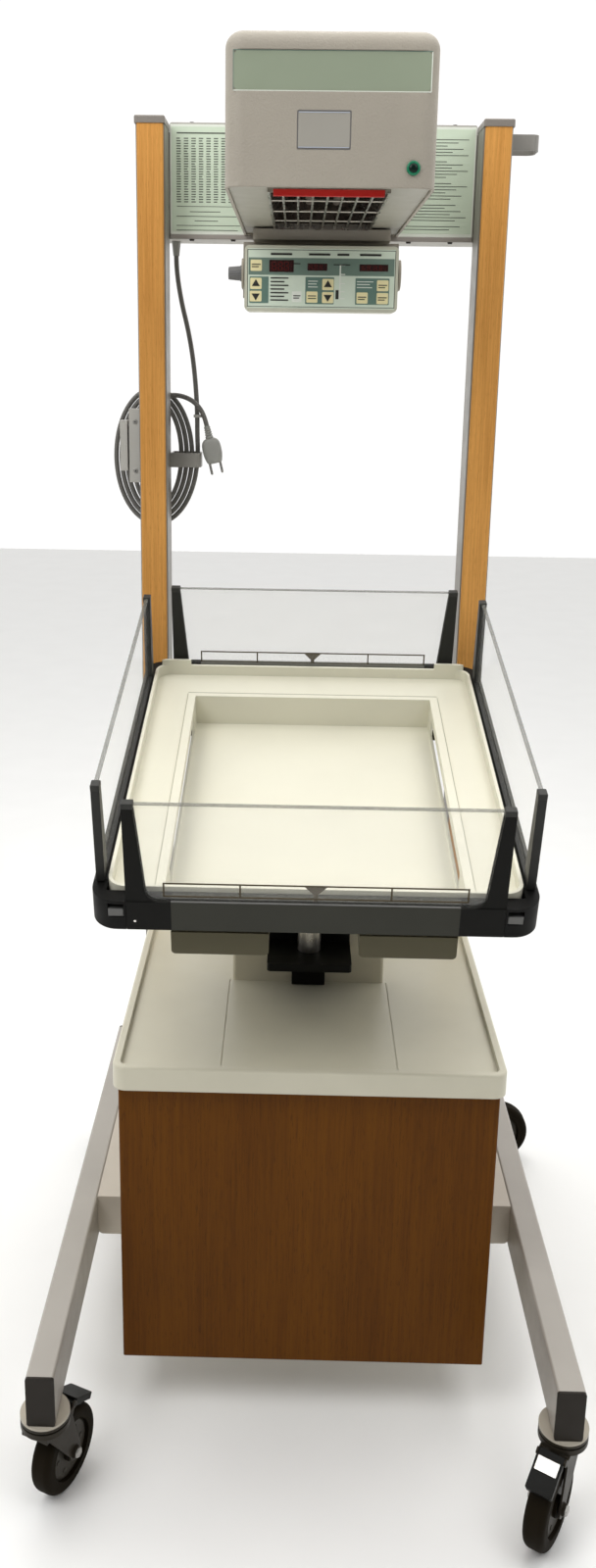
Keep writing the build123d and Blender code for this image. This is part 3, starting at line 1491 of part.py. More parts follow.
def build_bed():
    save(in_bed(bed_chassis()), "bed_chassis")
    corners = corner_block_piece(True) + corner_block_piece(False)
    save(in_bed(corners + mirrored(corners)), "bed_corner_blocks")
    save(in_bed(bed_tray()), "bed_tray")
    save(in_bed(latch_tab()), "latch_right")
    save(in_bed(mirrored(latch_tab())), "latch_left")
    save(in_bed(front_panel_frame()), "front_panel_frame")
    save(in_bed(end_panel_glass(front_glass_v)), "front_panel_glass")
    save(in_bed(rear_panel_frame()), "rear_panel_frame")
    save(in_bed(rear_panel_glass()), "rear_panel_glass")
    save(in_bed(side_panel_frame()), "right_panel_frame")
    save(in_bed(side_panel_glass()), "right_panel_glass")
    save(in_bed(mirrored(side_panel_frame())), "left_panel_frame")
    save(in_bed(mirrored(side_panel_glass())), "left_panel_glass")


def build_uprights():
    save(upright() + mirrored(upright()), "uprights")
    save(wood_strip() + mirrored(wood_strip()), "upright_wood_strips")
    save(upright_cap() + mirrored(upright_cap()), "upright_caps")
    save(header_housing(), "header_housing")
    save(header_cover(), "header_cover")
    save(power_module(), "power_module")
    hooks = rail_hook(upright_outer_x, 1, hook_right_z)
    save(hooks + rail_hook(-upright_inner_x, 1, hook_left_z), "rail_hooks")
    save(cord_bracket(), "cord_bracket")


def build_head():
    save(head_shell(), "head_shell")
    save(underpan(), "head_underpan")
    save(reflector(), "heater_reflector")
    save(heater_element(-1) + heater_element(1), "heater_element")
    save(wire_guard(), "wire_guard")
    save(control_bracket(), "control_bracket")
    save(control_case(), "control_case")
    save(control_panel(), "control_panel")
    save(circuit_board(), "circuit_board")
    save(tilt_knob(), "tilt_knob")


def build_cord():
    save(cord_gland(), "cord_gland")
    save(mains_plug(), "mains_plug")
    save(cord_tie(), "cord_tie")
    save(swept(rounded_path(drop_route())), "cord_drop")
    save(swept(rounded_path(tail_route())), "cord_tail")
    path = coil_path()
    print("coil least gap to itself", round(coil_self_gap(path), 2))
    save(swept(path), "cord_coil")


build_base()
build_cabinet()
build_pedestal()
build_bed()
build_uprights()
build_head()
build_cord()
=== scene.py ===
import math

import bmesh
import bpy
from mathutils import Matrix, Vector


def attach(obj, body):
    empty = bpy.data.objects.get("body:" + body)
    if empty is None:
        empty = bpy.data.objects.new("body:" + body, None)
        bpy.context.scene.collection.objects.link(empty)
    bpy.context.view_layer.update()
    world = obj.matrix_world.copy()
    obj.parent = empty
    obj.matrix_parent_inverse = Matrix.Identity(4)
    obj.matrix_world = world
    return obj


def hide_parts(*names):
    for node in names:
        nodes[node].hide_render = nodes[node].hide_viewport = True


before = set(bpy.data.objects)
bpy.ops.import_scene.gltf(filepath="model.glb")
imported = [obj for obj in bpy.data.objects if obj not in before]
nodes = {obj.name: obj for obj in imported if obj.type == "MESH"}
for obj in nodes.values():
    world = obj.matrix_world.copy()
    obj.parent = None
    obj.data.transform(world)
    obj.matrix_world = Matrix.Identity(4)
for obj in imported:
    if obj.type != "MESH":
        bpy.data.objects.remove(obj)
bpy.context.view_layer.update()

# Lengths are in metres, apart from those whose comment says millimetres
MM = 0.001
FLAT = Matrix.Identity(4)
SIDES = ((-1, "left"), (1, "right"))

# The bed's own axes: x across, y up the slope from the front bar, z off the tray
BED_ORIGIN = (0, -0.391, 0.9276)
BED_TILT = math.radians(13.0)
BED = Matrix.Translation(BED_ORIGIN) @ Matrix.Rotation(BED_TILT, 4, "X")


# Material helpers
PATCH_SCALE, PATCH_DETAIL, PATCH_STOPS = 6.0, 4.0, (0.3, 0.7)
GLOSS_SCALE, GLOSS_DETAIL, GLOSS_VARY, LEAST_ROUGH = 40.0, 3.0, 0.12, 0.02
GRAIN_SCALE, GRAIN_DETAIL, GRAIN_DEPTH = 900.0, 2.0, 0.0002
SOFT_EDGE, BEVEL_SAMPLES = 0.0012, 4
# A Mix node's sockets by number, because their names repeat for each kind of value
MIX_FACTOR = 0
COLOR_A, COLOR_B, COLOR_OUT = 6, 7, 2
FLOAT_A, FLOAT_B, FLOAT_OUT = 2, 3, 0


def new_material(name):
    """A material with one shader, and the coordinates that its textures follow."""
    m = bpy.data.materials.new(name)
    m.use_nodes = True
    n, l = m.node_tree.nodes, m.node_tree.links
    n.clear()
    out = n.new("ShaderNodeOutputMaterial")
    shader = n.new("ShaderNodeBsdfPrincipled")
    l.new(shader.outputs["BSDF"], out.inputs["Surface"])
    return m, n, l, shader, n.new("ShaderNodeTexCoord").outputs["Object"]


def noise(n, l, coord, scale, detail=GLOSS_DETAIL, stretch=None, rough=0.5):
    """A noise texture in object space, stretched per axis when asked."""
    t = n.new("ShaderNodeTexNoise")
    t.inputs["Scale"].default_value = scale
    t.inputs["Detail"].default_value = detail
    t.inputs["Roughness"].default_value = rough
    if stretch:
        mapping = n.new("ShaderNodeMapping")
        mapping.inputs["Scale"].default_value = stretch
        l.new(coord, mapping.inputs["Vector"])
        coord = mapping.outputs["Vector"]
    l.new(coord, t.inputs["Vector"])
    return t.outputs["Fac"]


def ramp(n, l, fac, stops):
    """A colour ramp from a list of positions and colours."""
    r = n.new("ShaderNodeValToRGB")
    e = r.color_ramp.elements
    while len(e) > 1:
        e.remove(e[-1])
    e[0].position = stops[0][0]
    e[0].color = (*stops[0][1], 1)
    for place, color in stops[1:]:
        e.new(place).color = (*color, 1)
    l.new(fac, r.inputs["Fac"])
    return r.outputs["Color"]


def span(n, l, fac, lo, hi, start=0.0, end=1.0):
    """Maps start to end on lo to hi."""
    r = n.new("ShaderNodeMapRange")
    r.inputs["From Min"].default_value = start
    r.inputs["From Max"].default_value = end
    r.inputs["To Min"].default_value = lo
    r.inputs["To Max"].default_value = hi
    l.new(fac, r.inputs["Value"])
    return r.outputs["Result"]


def compute(n, l, operation, value, other=None):
    """A Math node on one value and, where it needs one, a constant."""
    c = n.new("ShaderNodeMath")
    c.operation = operation
    l.new(value, c.inputs[0])
    if other is not None:
        c.inputs[1].default_value = other
    return c.outputs[0]


def feed(l, socket, value):
    """Links a socket to another socket's value, or sets it to a constant."""
    if isinstance(value, bpy.types.NodeSocket):
        l.new(value, socket)
    else:
        socket.default_value = value


def mixed(n, l, factor, a, b):
    """Mixes two colours."""
    mix = n.new("ShaderNodeMix")
    mix.data_type = "RGBA"
    feed(l, mix.inputs[MIX_FACTOR], factor)
    feed(l, mix.inputs[COLOR_A], a)
    feed(l, mix.inputs[COLOR_B], b)
    return mix.outputs[COLOR_OUT]


def shade(color, k):
    return tuple(min(1.0, v * k) for v in color)


def mottled(n, l, fac, color, vary):
    """A colour that strays a little to both sides of itself."""
    low, high = PATCH_STOPS
    return ramp(n, l, fac, [(low, shade(color, 1 - vary)), (high, shade(color, 1 + vary))])


def roughen(n, l, shader, height, strength, depth, soft):
    """Fine bumps over softened edges."""
    bumps = n.new("ShaderNodeBump")
    bumps.inputs["Strength"].default_value = strength
    bumps.inputs["Distance"].default_value = depth
    l.new(height, bumps.inputs["Height"])
    if soft:
        bevel = n.new("ShaderNodeBevel")
        bevel.samples = BEVEL_SAMPLES
        bevel.inputs["Radius"].default_value = soft
        l.new(bevel.outputs["Normal"], bumps.inputs["Normal"])
    l.new(bumps.outputs["Normal"], shader.inputs["Normal"])


def surface(name, color, rough=0.5, metal=0.0, vary=0.08, grain=GRAIN_SCALE, bump=0.08,
            depth=GRAIN_DEPTH, spec=0.5, soft=SOFT_EDGE, coat=0.0):
    """Painted, moulded or metal surface with its own fine grain and soft edges."""
    m, n, l, shader, coord = new_material(name)
    patches = noise(n, l, coord, PATCH_SCALE, PATCH_DETAIL)
    l.new(mottled(n, l, patches, color, vary), shader.inputs["Base Color"])
    gloss = noise(n, l, coord, GLOSS_SCALE)
    least, most = max(LEAST_ROUGH, rough - GLOSS_VARY), min(1.0, rough + GLOSS_VARY)
    l.new(span(n, l, gloss, least, most), shader.inputs["Roughness"])
    shader.inputs["Metallic"].default_value = metal
    shader.inputs["Specular IOR Level"].default_value = spec
    shader.inputs["Coat Weight"].default_value = coat
    roughen(n, l, shader, noise(n, l, coord, grain, GRAIN_DETAIL), bump, depth, soft)
    return m


def film(name, color, rough, **more):
    """Printed or pressed film, too thin for soft edges."""
    return surface(name, color, rough, soft=0.0, **more)


# Plastic in two colours
ZONE_PATCH_SCALE, ZONE_VARY, ZONE_SPEC = 9.0, 0.06, 0.10
ZONE_GLOSS_SCALE, ZONE_GLOSS_VARY, ZONE_BUMP = 60.0, 0.1, 0.1


def two_zone(name, near, far, axis, edge, rough=0.5, both=True):
    """Plastic whose colour changes past a plane of the object, or past it on both sides."""
    m, n, l, shader, coord = new_material(name)
    split = n.new("ShaderNodeSeparateXYZ")
    l.new(coord, split.inputs[0])
    value = split.outputs[axis]
    if both:
        value = compute(n, l, "ABSOLUTE", value)
    patches = noise(n, l, coord, ZONE_PATCH_SCALE, PATCH_DETAIL)
    color = mixed(n, l, compute(n, l, "GREATER_THAN", value, edge),
                  mottled(n, l, patches, near, ZONE_VARY),
                  mottled(n, l, patches, far, ZONE_VARY))
    l.new(color, shader.inputs["Base Color"])
    shader.inputs["Specular IOR Level"].default_value = ZONE_SPEC
    gloss = noise(n, l, coord, ZONE_GLOSS_SCALE)
    l.new(span(n, l, gloss, rough - ZONE_GLOSS_VARY, rough + ZONE_GLOSS_VARY),
          shader.inputs["Roughness"])
    roughen(n, l, shader, noise(n, l, coord, GRAIN_SCALE, GRAIN_DETAIL), ZONE_BUMP,
            GRAIN_DEPTH, SOFT_EDGE)
    return m


# Wood: three layers of noise, each drawn out along the grain
WIDE_ALONG, WIDE_DETAIL, WIDE_ROUGH, WIDE_STOPS = 1.3, 4.0, 0.6, (0.3, 0.72)
STREAK_ALONG, STREAK_DETAIL, STREAK_ROUGH, STREAK_STOPS = 7.0, 5.0, 0.65, (0.32, 0.62)
PORE_ALONG, PORE_DETAIL, PORE_FINER, PORE_STOPS = 55.0, 2.0, 3.2, (0.60, 0.68)
STREAK_SHADE, STREAK_SHARE = 0.80, 0.45
WOOD_SPEC, WOOD_GLOSSIER, WOOD_DULLER = 0.09, 0.08, 0.12
WOOD_BUMP, WOOD_DEPTH, WOOD_SOFT = 0.12, 0.0003, 0.0015
NONE, FULL = (0, 0, 0), (1, 1, 1)


def wood(name, dark, light, fleck, fine, rough, flecks, broad=14.0):
    """Laminate or solid wood with its grain along Z."""
    m, n, l, shader, coord = new_material(name)
    wide = noise(n, l, coord, 1.0, WIDE_DETAIL, (broad, broad, WIDE_ALONG), WIDE_ROUGH)
    streak = noise(n, l, coord, 1.0, STREAK_DETAIL, (fine, fine, STREAK_ALONG), STREAK_ROUGH)
    finer = fine * PORE_FINER
    pores = noise(n, l, coord, 1.0, PORE_DETAIL, (finer, finer, PORE_ALONG))
    base = ramp(n, l, wide, list(zip(WIDE_STOPS, (dark, light))))
    lines = ramp(n, l, streak, list(zip(STREAK_STOPS, (shade(dark, STREAK_SHADE), light))))
    mask = ramp(n, l, pores, list(zip(PORE_STOPS, (NONE, FULL))))
    color = mixed(n, l, compute(n, l, "MULTIPLY", mask, flecks),
                  mixed(n, l, STREAK_SHARE, base, lines), (*fleck, 1))
    l.new(color, shader.inputs["Base Color"])
    shader.inputs["Specular IOR Level"].default_value = WOOD_SPEC
    l.new(span(n, l, streak, rough - WOOD_GLOSSIER, rough + WOOD_DULLER),
          shader.inputs["Roughness"])
    roughen(n, l, shader, pores, WOOD_BUMP, WOOD_DEPTH, WOOD_SOFT)
    return m


# Clear sheet
SMEAR_SCALE, SMEAR_DETAIL, SMEAR_STRETCH = 9.0, 5.0, (1, 1, 3)
SMEAR_ROUGH, THINNEST, THICKEST = 0.12, 0.8, 1.25


def acrylic(name, color, alpha, rough=0.04):
    """Clear sheet seen mostly through, with faint scuffs in its gloss."""
    m, n, l, shader, coord = new_material(name)
    shader.inputs["Base Color"].default_value = (*color, 1)
    smear = noise(n, l, coord, SMEAR_SCALE, SMEAR_DETAIL, SMEAR_STRETCH)
    l.new(span(n, l, smear, rough, rough + SMEAR_ROUGH), shader.inputs["Roughness"])
    l.new(span(n, l, smear, alpha * THINNEST, alpha * THICKEST), shader.inputs["Alpha"])
    shader.inputs["Specular IOR Level"].default_value = 0.5
    return m


# Enamels and boards
CREAM = surface("cream_moulding", (0.70, 0.68, 0.56), 0.42, vary=0.03, grain=1500, bump=0.05)
SHELF = surface("shelf_enamel", (0.60, 0.57, 0.45), 0.38, vary=0.05, grain=1500, bump=0.05)
PEDESTAL = surface("pedestal_enamel", (0.58, 0.54, 0.42), 0.42, vary=0.04)
GREIGE = surface("greige_textured", (0.32, 0.29, 0.24), 0.6, vary=0.05, grain=420,
                 bump=0.8, depth=0.0009, soft=0.002)
GREIGE_DARK = surface("greige_shade", (0.10, 0.09, 0.055), 0.6, vary=0.05, spec=0.12)
BOXCASE = surface("box_case", (0.53, 0.53, 0.43), 0.5, vary=0.04, bump=0.15)
UNDER = surface("underside_enamel", (0.29, 0.28, 0.23), 0.5, vary=0.04)
LEG = surface("leg_enamel", (0.36, 0.335, 0.30), 0.40, vary=0.05, grain=1100, bump=0.12,
              metal=0.15)
BEAM = surface("beam_enamel", (0.50, 0.45, 0.38), 0.45, vary=0.06)
UPRIGHT = surface("upright_enamel", (0.18, 0.165, 0.14), 0.42, vary=0.06, metal=0.2)
LIP = surface("header_lip", (0.30, 0.275, 0.25), 0.45, vary=0.05)
HEADER = surface("header_enamel", (0.40, 0.385, 0.35), 0.5, vary=0.05)
BOARD = surface("white_board", (0.56, 0.52, 0.44), 0.6, vary=0.05)
GREENBOARD = surface("circuit_green", (0.03, 0.16, 0.06), 0.45, vary=0.1)

# Plastics, rubber and cord
CAPS = surface("cap_plastic", (0.20, 0.18, 0.16), 0.45, vary=0.06)
CHARCOAL = surface("charcoal_plastic", (0.022, 0.018, 0.014), 0.5, vary=0.1, grain=600,
                   bump=0.25, spec=0.15)
BLACK = surface("black_plastic", (0.005, 0.005, 0.004), 0.42, vary=0.15, grain=600,
                bump=0.2, spec=0.12)
CORNER = surface("corner_plastic", (0.004, 0.004, 0.0035), 0.55, vary=0.1, grain=600,
                 bump=0.2, spec=0.12)
TIP = surface("tip_plastic", (0.030, 0.030, 0.027), 0.45, vary=0.06, spec=0.2)
TAB = surface("tab_plastic", (0.10, 0.10, 0.095), 0.45, vary=0.06)
SIDEBAR = surface("side_bar", (0.022, 0.022, 0.020), 0.42, grain=600, bump=0.2, spec=0.2)
KNOB = surface("knob_grey", (0.13, 0.13, 0.13), 0.45, vary=0.06)
WHEELDISC = surface("wheel_disc", (0.030, 0.025, 0.017), 0.45, vary=0.1, spec=0.2)
RUBBER = surface("tyre_rubber", (0.011, 0.008, 0.004), 0.7, vary=0.2, grain=350,
                 bump=0.25, spec=0.06)
GREY = surface("cord_grey", (0.125, 0.12, 0.11), 0.5, grain=500, bump=0.1, soft=0.0)
PLUG = surface("plug_grey", (0.27, 0.27, 0.25), 0.48, grain=500, bump=0.1)
HOOK = surface("hook_grey", (0.24, 0.23, 0.21), 0.45)
CLIP = surface("clip_white", (0.42, 0.41, 0.38), 0.5, vary=0.05)
RED = surface("red_strip", (0.50, 0.010, 0.006), 0.35, vary=0.06, soft=0.0005)

# Metals and the heater's ceramic
BRIGHT = surface("bright_plate", (0.72, 0.70, 0.66), 0.24, metal=1.0, vary=0.1, bump=0.03)
ALU = surface("drawn_aluminium", (0.36, 0.34, 0.30), 0.30, metal=0.9, bump=0.03)
MIRROR = surface("polished_reflector", (0.16, 0.14, 0.12), 0.25, metal=1.0, vary=0.2,
                 bump=0.05)
WIRE = surface("guard_wire", (0.40, 0.38, 0.34), 0.28, metal=1.0, vary=0.1, bump=0.02,
               soft=0.0)
SCREW = surface("screw_dark", (0.04, 0.035, 0.03), 0.35, metal=0.8, vary=0.1)
STEEL = surface("zinc_steel", (0.40, 0.39, 0.37), 0.35, metal=1.0, vary=0.1)
ELEMENT = surface("element_ceramic", (0.16, 0.13, 0.11), 0.6, vary=0.2)

# Films, labels, lamps and drawn lines
MINT = film("mint_film", (0.60, 0.70, 0.56), 0.42, vary=0.03, bump=0.02)
MINT_HEAD = film("mint_head_film", (0.25, 0.29, 0.21), 0.42, vary=0.03, bump=0.02)
PALE = film("pale_film", (0.74, 0.78, 0.70), 0.45, vary=0.03, bump=0.02)
LABEL = film("blank_label", (0.31, 0.295, 0.26), 0.4, vary=0.04, bump=0.02)
FOIL = film("label_foil", (0.22, 0.21, 0.20), 0.35, metal=0.5, vary=0.05)
RIM = film("label_rim", (0.38, 0.42, 0.50), 0.4, vary=0.04)
INK = film("grey_ink", (0.05, 0.06, 0.045), 0.6, vary=0.05)
BAND = film("dark_band_film", (0.145, 0.215, 0.175), 0.4, vary=0.04)
FACE = film("face_film", (0.64, 0.73, 0.61), 0.42, vary=0.03, bump=0.02)
DEEP = film("deep_green_film", (0.115, 0.20, 0.165), 0.4, vary=0.04)
KEYS = film("key_film", (0.82, 0.74, 0.42), 0.42, vary=0.03)
KEYINK = film("key_ink", (0.015, 0.015, 0.012), 0.5, vary=0.1)
DISPLAY = film("display_filter", (0.030, 0.004, 0.003), 0.12, vary=0.1, coat=0.5)
SEGMENT = film("display_segment", (0.095, 0.008, 0.006), 0.25, vary=0.1)
GLOW = film("lamp_ring", (0.006, 0.16, 0.075), 0.3, vary=0.05)
LENS = film("green_lens", (0.002, 0.012, 0.008), 0.3, vary=0.1, spec=0.2)
# Painted shade for the foot of the tray's raised lip
LIP_SHADE = film("tray_lip_shade", (0.36, 0.35, 0.27), 0.6, vary=0.04)
INSERT = film("insert_line", (0.085, 0.068, 0.042), 0.5, vary=0.05, spec=0.1)

# Parts in two colours: above the fork's crown plate, and past a bar's strip on both sides
CROWN_PLATE_Z, BAR_STRIP_X, REAR_STRIP_X = 0.1588, 0.186, 0.196
FORK = two_zone("fork_plate", (0.030, 0.025, 0.018), (0.46, 0.42, 0.35), "Z",
                CROWN_PLATE_Z, rough=0.34, both=False)
BARMAT = two_zone("bar_front", (0.042, 0.042, 0.034), (0.006, 0.006, 0.005), "X",
                  BAR_STRIP_X)
REARBAR = two_zone("rear_bar", (0.19, 0.19, 0.165), (0.026, 0.026, 0.023), "X",
                   REAR_STRIP_X)

# Wood and clear sheets
CABINET = wood("cabinet_laminate", (0.094, 0.029, 0.0008), (0.146, 0.050, 0.0018),
               (0.062, 0.021, 0.001), fine=240.0, flecks=0.55, rough=0.40)
OAK = wood("oak_strip", (0.47, 0.21, 0.048), (0.70, 0.35, 0.095), (0.29, 0.12, 0.026),
           fine=420.0, flecks=0.45, rough=0.38, broad=30.0)
GLASS = acrylic("clear_acrylic", (0.80, 0.80, 0.76), 0.10)
EDGE = acrylic("acrylic_edge", (0.13, 0.13, 0.11), 0.46, 0.3)


def dress(material, *names):
    """Gives CAD nodes their material."""
    for name in names:
        o = nodes[name]
        o.data.materials.clear()
        o.data.materials.append(material)


dress(LEG, "leg_tubes")
dress(CHARCOAL, "leg_end_plugs", "power_module")
dress(BEAM, "base_beam")
for corner in ("front_left", "front_right", "rear_left", "rear_right"):
    dress(FORK, "caster_fork_" + corner)
    dress(RUBBER, "caster_wheel_" + corner)
dress(BLACK, "brake_pedal_front_left", "brake_pedal_front_right", "tilt_bracket")
dress(CORNER, "bed_corner_blocks")
dress(BOARD, "cabinet_carcass")
dress(CABINET, "cabinet_front_panel", "drawer_lower", "drawer_upper")
dress(SHELF, "shelf_top")
dress(CREAM, "bed_tray")
dress(PEDESTAL, "pedestal_cover")
dress(UPRIGHT, "uprights", "bed_column")
dress(HEADER, "header_housing", "header_cover")
dress(OAK, "upright_wood_strips")
dress(ALU, "actuator_tube", "actuator_rod")
dress(GREIGE_DARK, "bed_chassis")
dress(GREIGE, "head_shell", "control_bracket")
dress(BOXCASE, "control_case")
dress(UNDER, "head_underpan")
dress(TAB, "latch_left", "latch_right")
dress(HOOK, "rail_hooks")
dress(CAPS, "upright_caps")
dress(CLIP, "cord_bracket", "cord_tie")
dress(BARMAT, "front_panel_frame")
dress(SIDEBAR, "left_panel_frame", "right_panel_frame")
dress(REARBAR, "rear_panel_frame")
dress(GLASS, "front_panel_glass", "left_panel_glass", "right_panel_glass",
      "rear_panel_glass")
dress(MIRROR, "heater_reflector")
dress(ELEMENT, "heater_element")
dress(WIRE, "wire_guard")
dress(FACE, "control_panel")
dress(GREENBOARD, "circuit_board")
dress(KNOB, "tilt_knob")
dress(PLUG, "mains_plug", "cord_gland")
dress(GREY, "cord_drop", "cord_coil", "cord_tail")


# Mesh helpers
ROUND_STEPS, LATHE_STEPS, MOST_ROUND = 4, 48, 0.49


def add(o):
    bpy.context.scene.collection.objects.link(o)
    return o


def make(name, bm, material, body, place=FLAT, smooth=False):
    """Turns mesh data into a piece that rides on a body."""
    mesh = bpy.data.meshes.new(name)
    bmesh.ops.recalc_face_normals(bm, faces=bm.faces)
    bm.to_mesh(mesh)
    bm.free()
    o = add(bpy.data.objects.new(name, mesh))
    mesh.materials.append(material)
    mesh.transform(place)
    if smooth:
        for p in mesh.polygons:
            p.use_smooth = True
    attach(o, body)
    return o


def box_into(bm, lo, hi, r=0.0, seg=2):
    """Adds a box with rounded edges."""
    size = [h - l for l, h in zip(lo, hi)]
    mid = [(h + l) / 2 for l, h in zip(lo, hi)]
    new = bmesh.ops.create_cube(bm, size=1.0)["verts"]
    for v in new:
        v.co = Vector((v.co.x * size[0] + mid[0], v.co.y * size[1] + mid[1],
                       v.co.z * size[2] + mid[2]))
    if r > 0:
        edges = list({e for v in new for e in v.link_edges})
        bmesh.ops.bevel(bm, geom=edges, offset=min(r, min(size) * MOST_ROUND),
                        segments=seg, affect="EDGES", profile=0.5)


def boxes(name, corners, material, body, place=FLAT, r=0.0, seg=2):
    """One piece made of boxes."""
    bm = bmesh.new()
    for lo, hi in corners:
        box_into(bm, lo, hi, r, seg)
    return make(name, bm, material, body, place)


def plate_into(bm, points, front, thick):
    """Adds a plate from an outline in x and z, with its front at y and its body behind."""
    lower = [bm.verts.new((x, front, z)) for x, z in points]
    upper = [bm.verts.new(v.co + Vector((0, thick, 0))) for v in lower]
    bm.faces.new(lower)
    bm.faces.new(list(reversed(upper)))
    for i in range(len(points)):
        j = (i + 1) % len(points)
        bm.faces.new((lower[i], upper[i], upper[j], lower[j]))


def rounded(x0, x1, z0, z1, r):
    """A rounded rectangle as a list of points."""
    r = min(r, (x1 - x0) * MOST_ROUND, (z1 - z0) * MOST_ROUND)
    pts = []
    for cx, cz, a in ((x1 - r, z1 - r, 0), (x0 + r, z1 - r, 90), (x0 + r, z0 + r, 180),
                      (x1 - r, z0 + r, 270)):
        for k in range(ROUND_STEPS + 1):
            t = math.radians(a + 90 * k / ROUND_STEPS)
            pts.append((cx + r * math.cos(t), cz + r * math.sin(t)))
    return pts


def plates(name, shapes, face, layer, material, body="frame"):
    """Thin plates that face the foot end, all in millimetres.

    Each shape is x0, x1, z0, z1 and corner radius. A layer is how far a plate's front
    stands before the face, and how thick the plate is.
    """
    before, thick = layer
    bm = bmesh.new()
    for x0, x1, z0, z1, r in shapes:
        pts = rounded(x0 * MM, x1 * MM, z0 * MM, z1 * MM, r * MM)
        plate_into(bm, pts, (face - before) * MM, thick * MM)
    return make(name, bm, material, body)


def disc_into(bm, centre, axis, head):
    """Adds a disc or cone: radius at its seat, radius at its top, height and sides."""
    r0, r1, height, sides = head
    q = Vector((0, 0, 1)).rotation_difference(Vector(axis).normalized()).to_matrix().to_4x4()
    m = Matrix.Translation(Vector(centre) + Vector(axis).normalized() * (height / 2)) @ q
    bmesh.ops.create_cone(bm, cap_ends=True, segments=sides, radius1=r0, radius2=r1,
                          depth=height, matrix=m)


def discs(name, centres, axis, head, material, body="frame", place=FLAT):
    """One piece made of equal discs, such as a row of screw heads."""
    bm = bmesh.new()
    for centre in centres:
        disc_into(bm, centre, axis, head)
    return make(name, bm, material, body, place)


def skin(bm, rings):
    """Joins rings of points by faces and closes both ends."""
    count = len(rings[0])
    for a, b in zip(rings, rings[1:]):
        for k in range(count):
            j = (k + 1) % count
            bm.faces.new((a[k], a[j], b[j], b[k]))
    bm.faces.new(rings[0])
    bm.faces.new(list(reversed(rings[-1])))


def lathe(name, profile, centre, axis, material, body, place=FLAT):
    """Turns a profile of radius and height about an axis."""
    q = Vector((0, 0, 1)).rotation_difference(Vector(axis).normalized()).to_matrix()
    bm = bmesh.new()
    rings = []
    for r, h in profile:
        ring = []
        for k in range(LATHE_STEPS):
            t = 2 * math.pi * k / LATHE_STEPS
            p = q @ Vector((r * math.cos(t), r * math.sin(t), h))
            ring.append(bm.verts.new(Vector(centre) + p))
        rings.append(ring)
    skin(bm, rings)
    return make(name, bm, material, body, place, smooth=True)


# Camera at the photograph's viewing angle
CAMERA_PLACE = (-0.036, -1.881, 1.600)
YAW, PITCH, ROLL = math.radians(-0.98), math.radians(15.0), math.radians(0.8)
LENS_LENGTH, SENSOR = 28.9, 36.0             # millimetres
SHIFT_X, SHIFT_Y = 0.01756, -0.0541
CLIP_END = 60.0


def camera():
    """The camera, from its place, yaw, pitch and roll."""
    ahead = Vector((math.sin(YAW) * math.cos(PITCH), math.cos(YAW) * math.cos(PITCH),
                    -math.sin(PITCH)))
    level = Vector((math.cos(YAW), -math.sin(YAW), 0))
    steep = level.cross(ahead)
    right = level * math.cos(ROLL) + steep * math.sin(ROLL)
    up = steep * math.cos(ROLL) - level * math.sin(ROLL)
    data = bpy.data.cameras.new("view")
    cam = add(bpy.data.objects.new("view", data))
    rows = [(right[i], up[i], -ahead[i], CAMERA_PLACE[i]) for i in range(3)]
    cam.matrix_world = Matrix(rows + [(0, 0, 0, 1)])
    data.lens = LENS_LENGTH
    data.sensor_width = SENSOR
    data.sensor_fit = "AUTO"
    data.shift_x = SHIFT_X
    data.shift_y = SHIFT_Y
    data.clip_end = CLIP_END
    bpy.context.scene.camera = cam


# Studio: pale floor, light that grows from the camera's side to the far side, white wall
FLOOR_HALF = 9.0
SKY_COLOR = (1.0, 0.995, 0.985, 1)
SKY_TURN = 0.35                              # share of y in the light's direction
SKY_NEAR, SKY_FAR, WALL_SEEN = 0.13, 1.42, 1.06
LIGHTS = (("ceiling", (0.1, 0.2, 3.3), (0, 0.1, 0.8), (2.4, 2.8), 46, (1, 0.985, 0.95)),
          ("left_soft", (-1.5, -1.6, 3.0), (0, 0, 1.4), (1.2, 1.5), 36, (1, 1, 1)),
          ("right_soft", (1.5, -1.5, 3.0), (0, 0, 1.4), (1.2, 1.5), 18, (1, 1, 1)))


def studio_floor():
    bm = bmesh.new()
    bmesh.ops.create_grid(bm, x_segments=2, y_segments=2, size=FLOOR_HALF)
    mesh = bpy.data.meshes.new("studio_floor")
    bm.to_mesh(mesh)
    bm.free()
    floor = add(bpy.data.objects.new("studio_floor", mesh))
    mesh.materials.append(film("floor_paint", (0.93, 0.93, 0.92), 0.8, vary=0.01, bump=0.0))


def studio_world():
    world = bpy.data.worlds.new("studio")
    bpy.context.scene.world = world
    world.use_nodes = True
    n, l = world.node_tree.nodes, world.node_tree.links
    background = n["Background"]
    background.inputs["Color"].default_value = SKY_COLOR
    way = n.new("ShaderNodeSeparateXYZ")
    l.new(n.new("ShaderNodeTexCoord").outputs["Generated"], way.inputs[0])
    pick = n.new("ShaderNodeMix")
    l.new(n.new("ShaderNodeLightPath").outputs["Is Camera Ray"], pick.inputs[MIX_FACTOR])
    l.new(span(n, l, way.outputs["Y"], SKY_NEAR, SKY_FAR, -SKY_TURN, SKY_TURN),
          pick.inputs[FLOAT_A])
    pick.inputs[FLOAT_B].default_value = WALL_SEEN
    l.new(pick.outputs[FLOAT_OUT], background.inputs["Strength"])


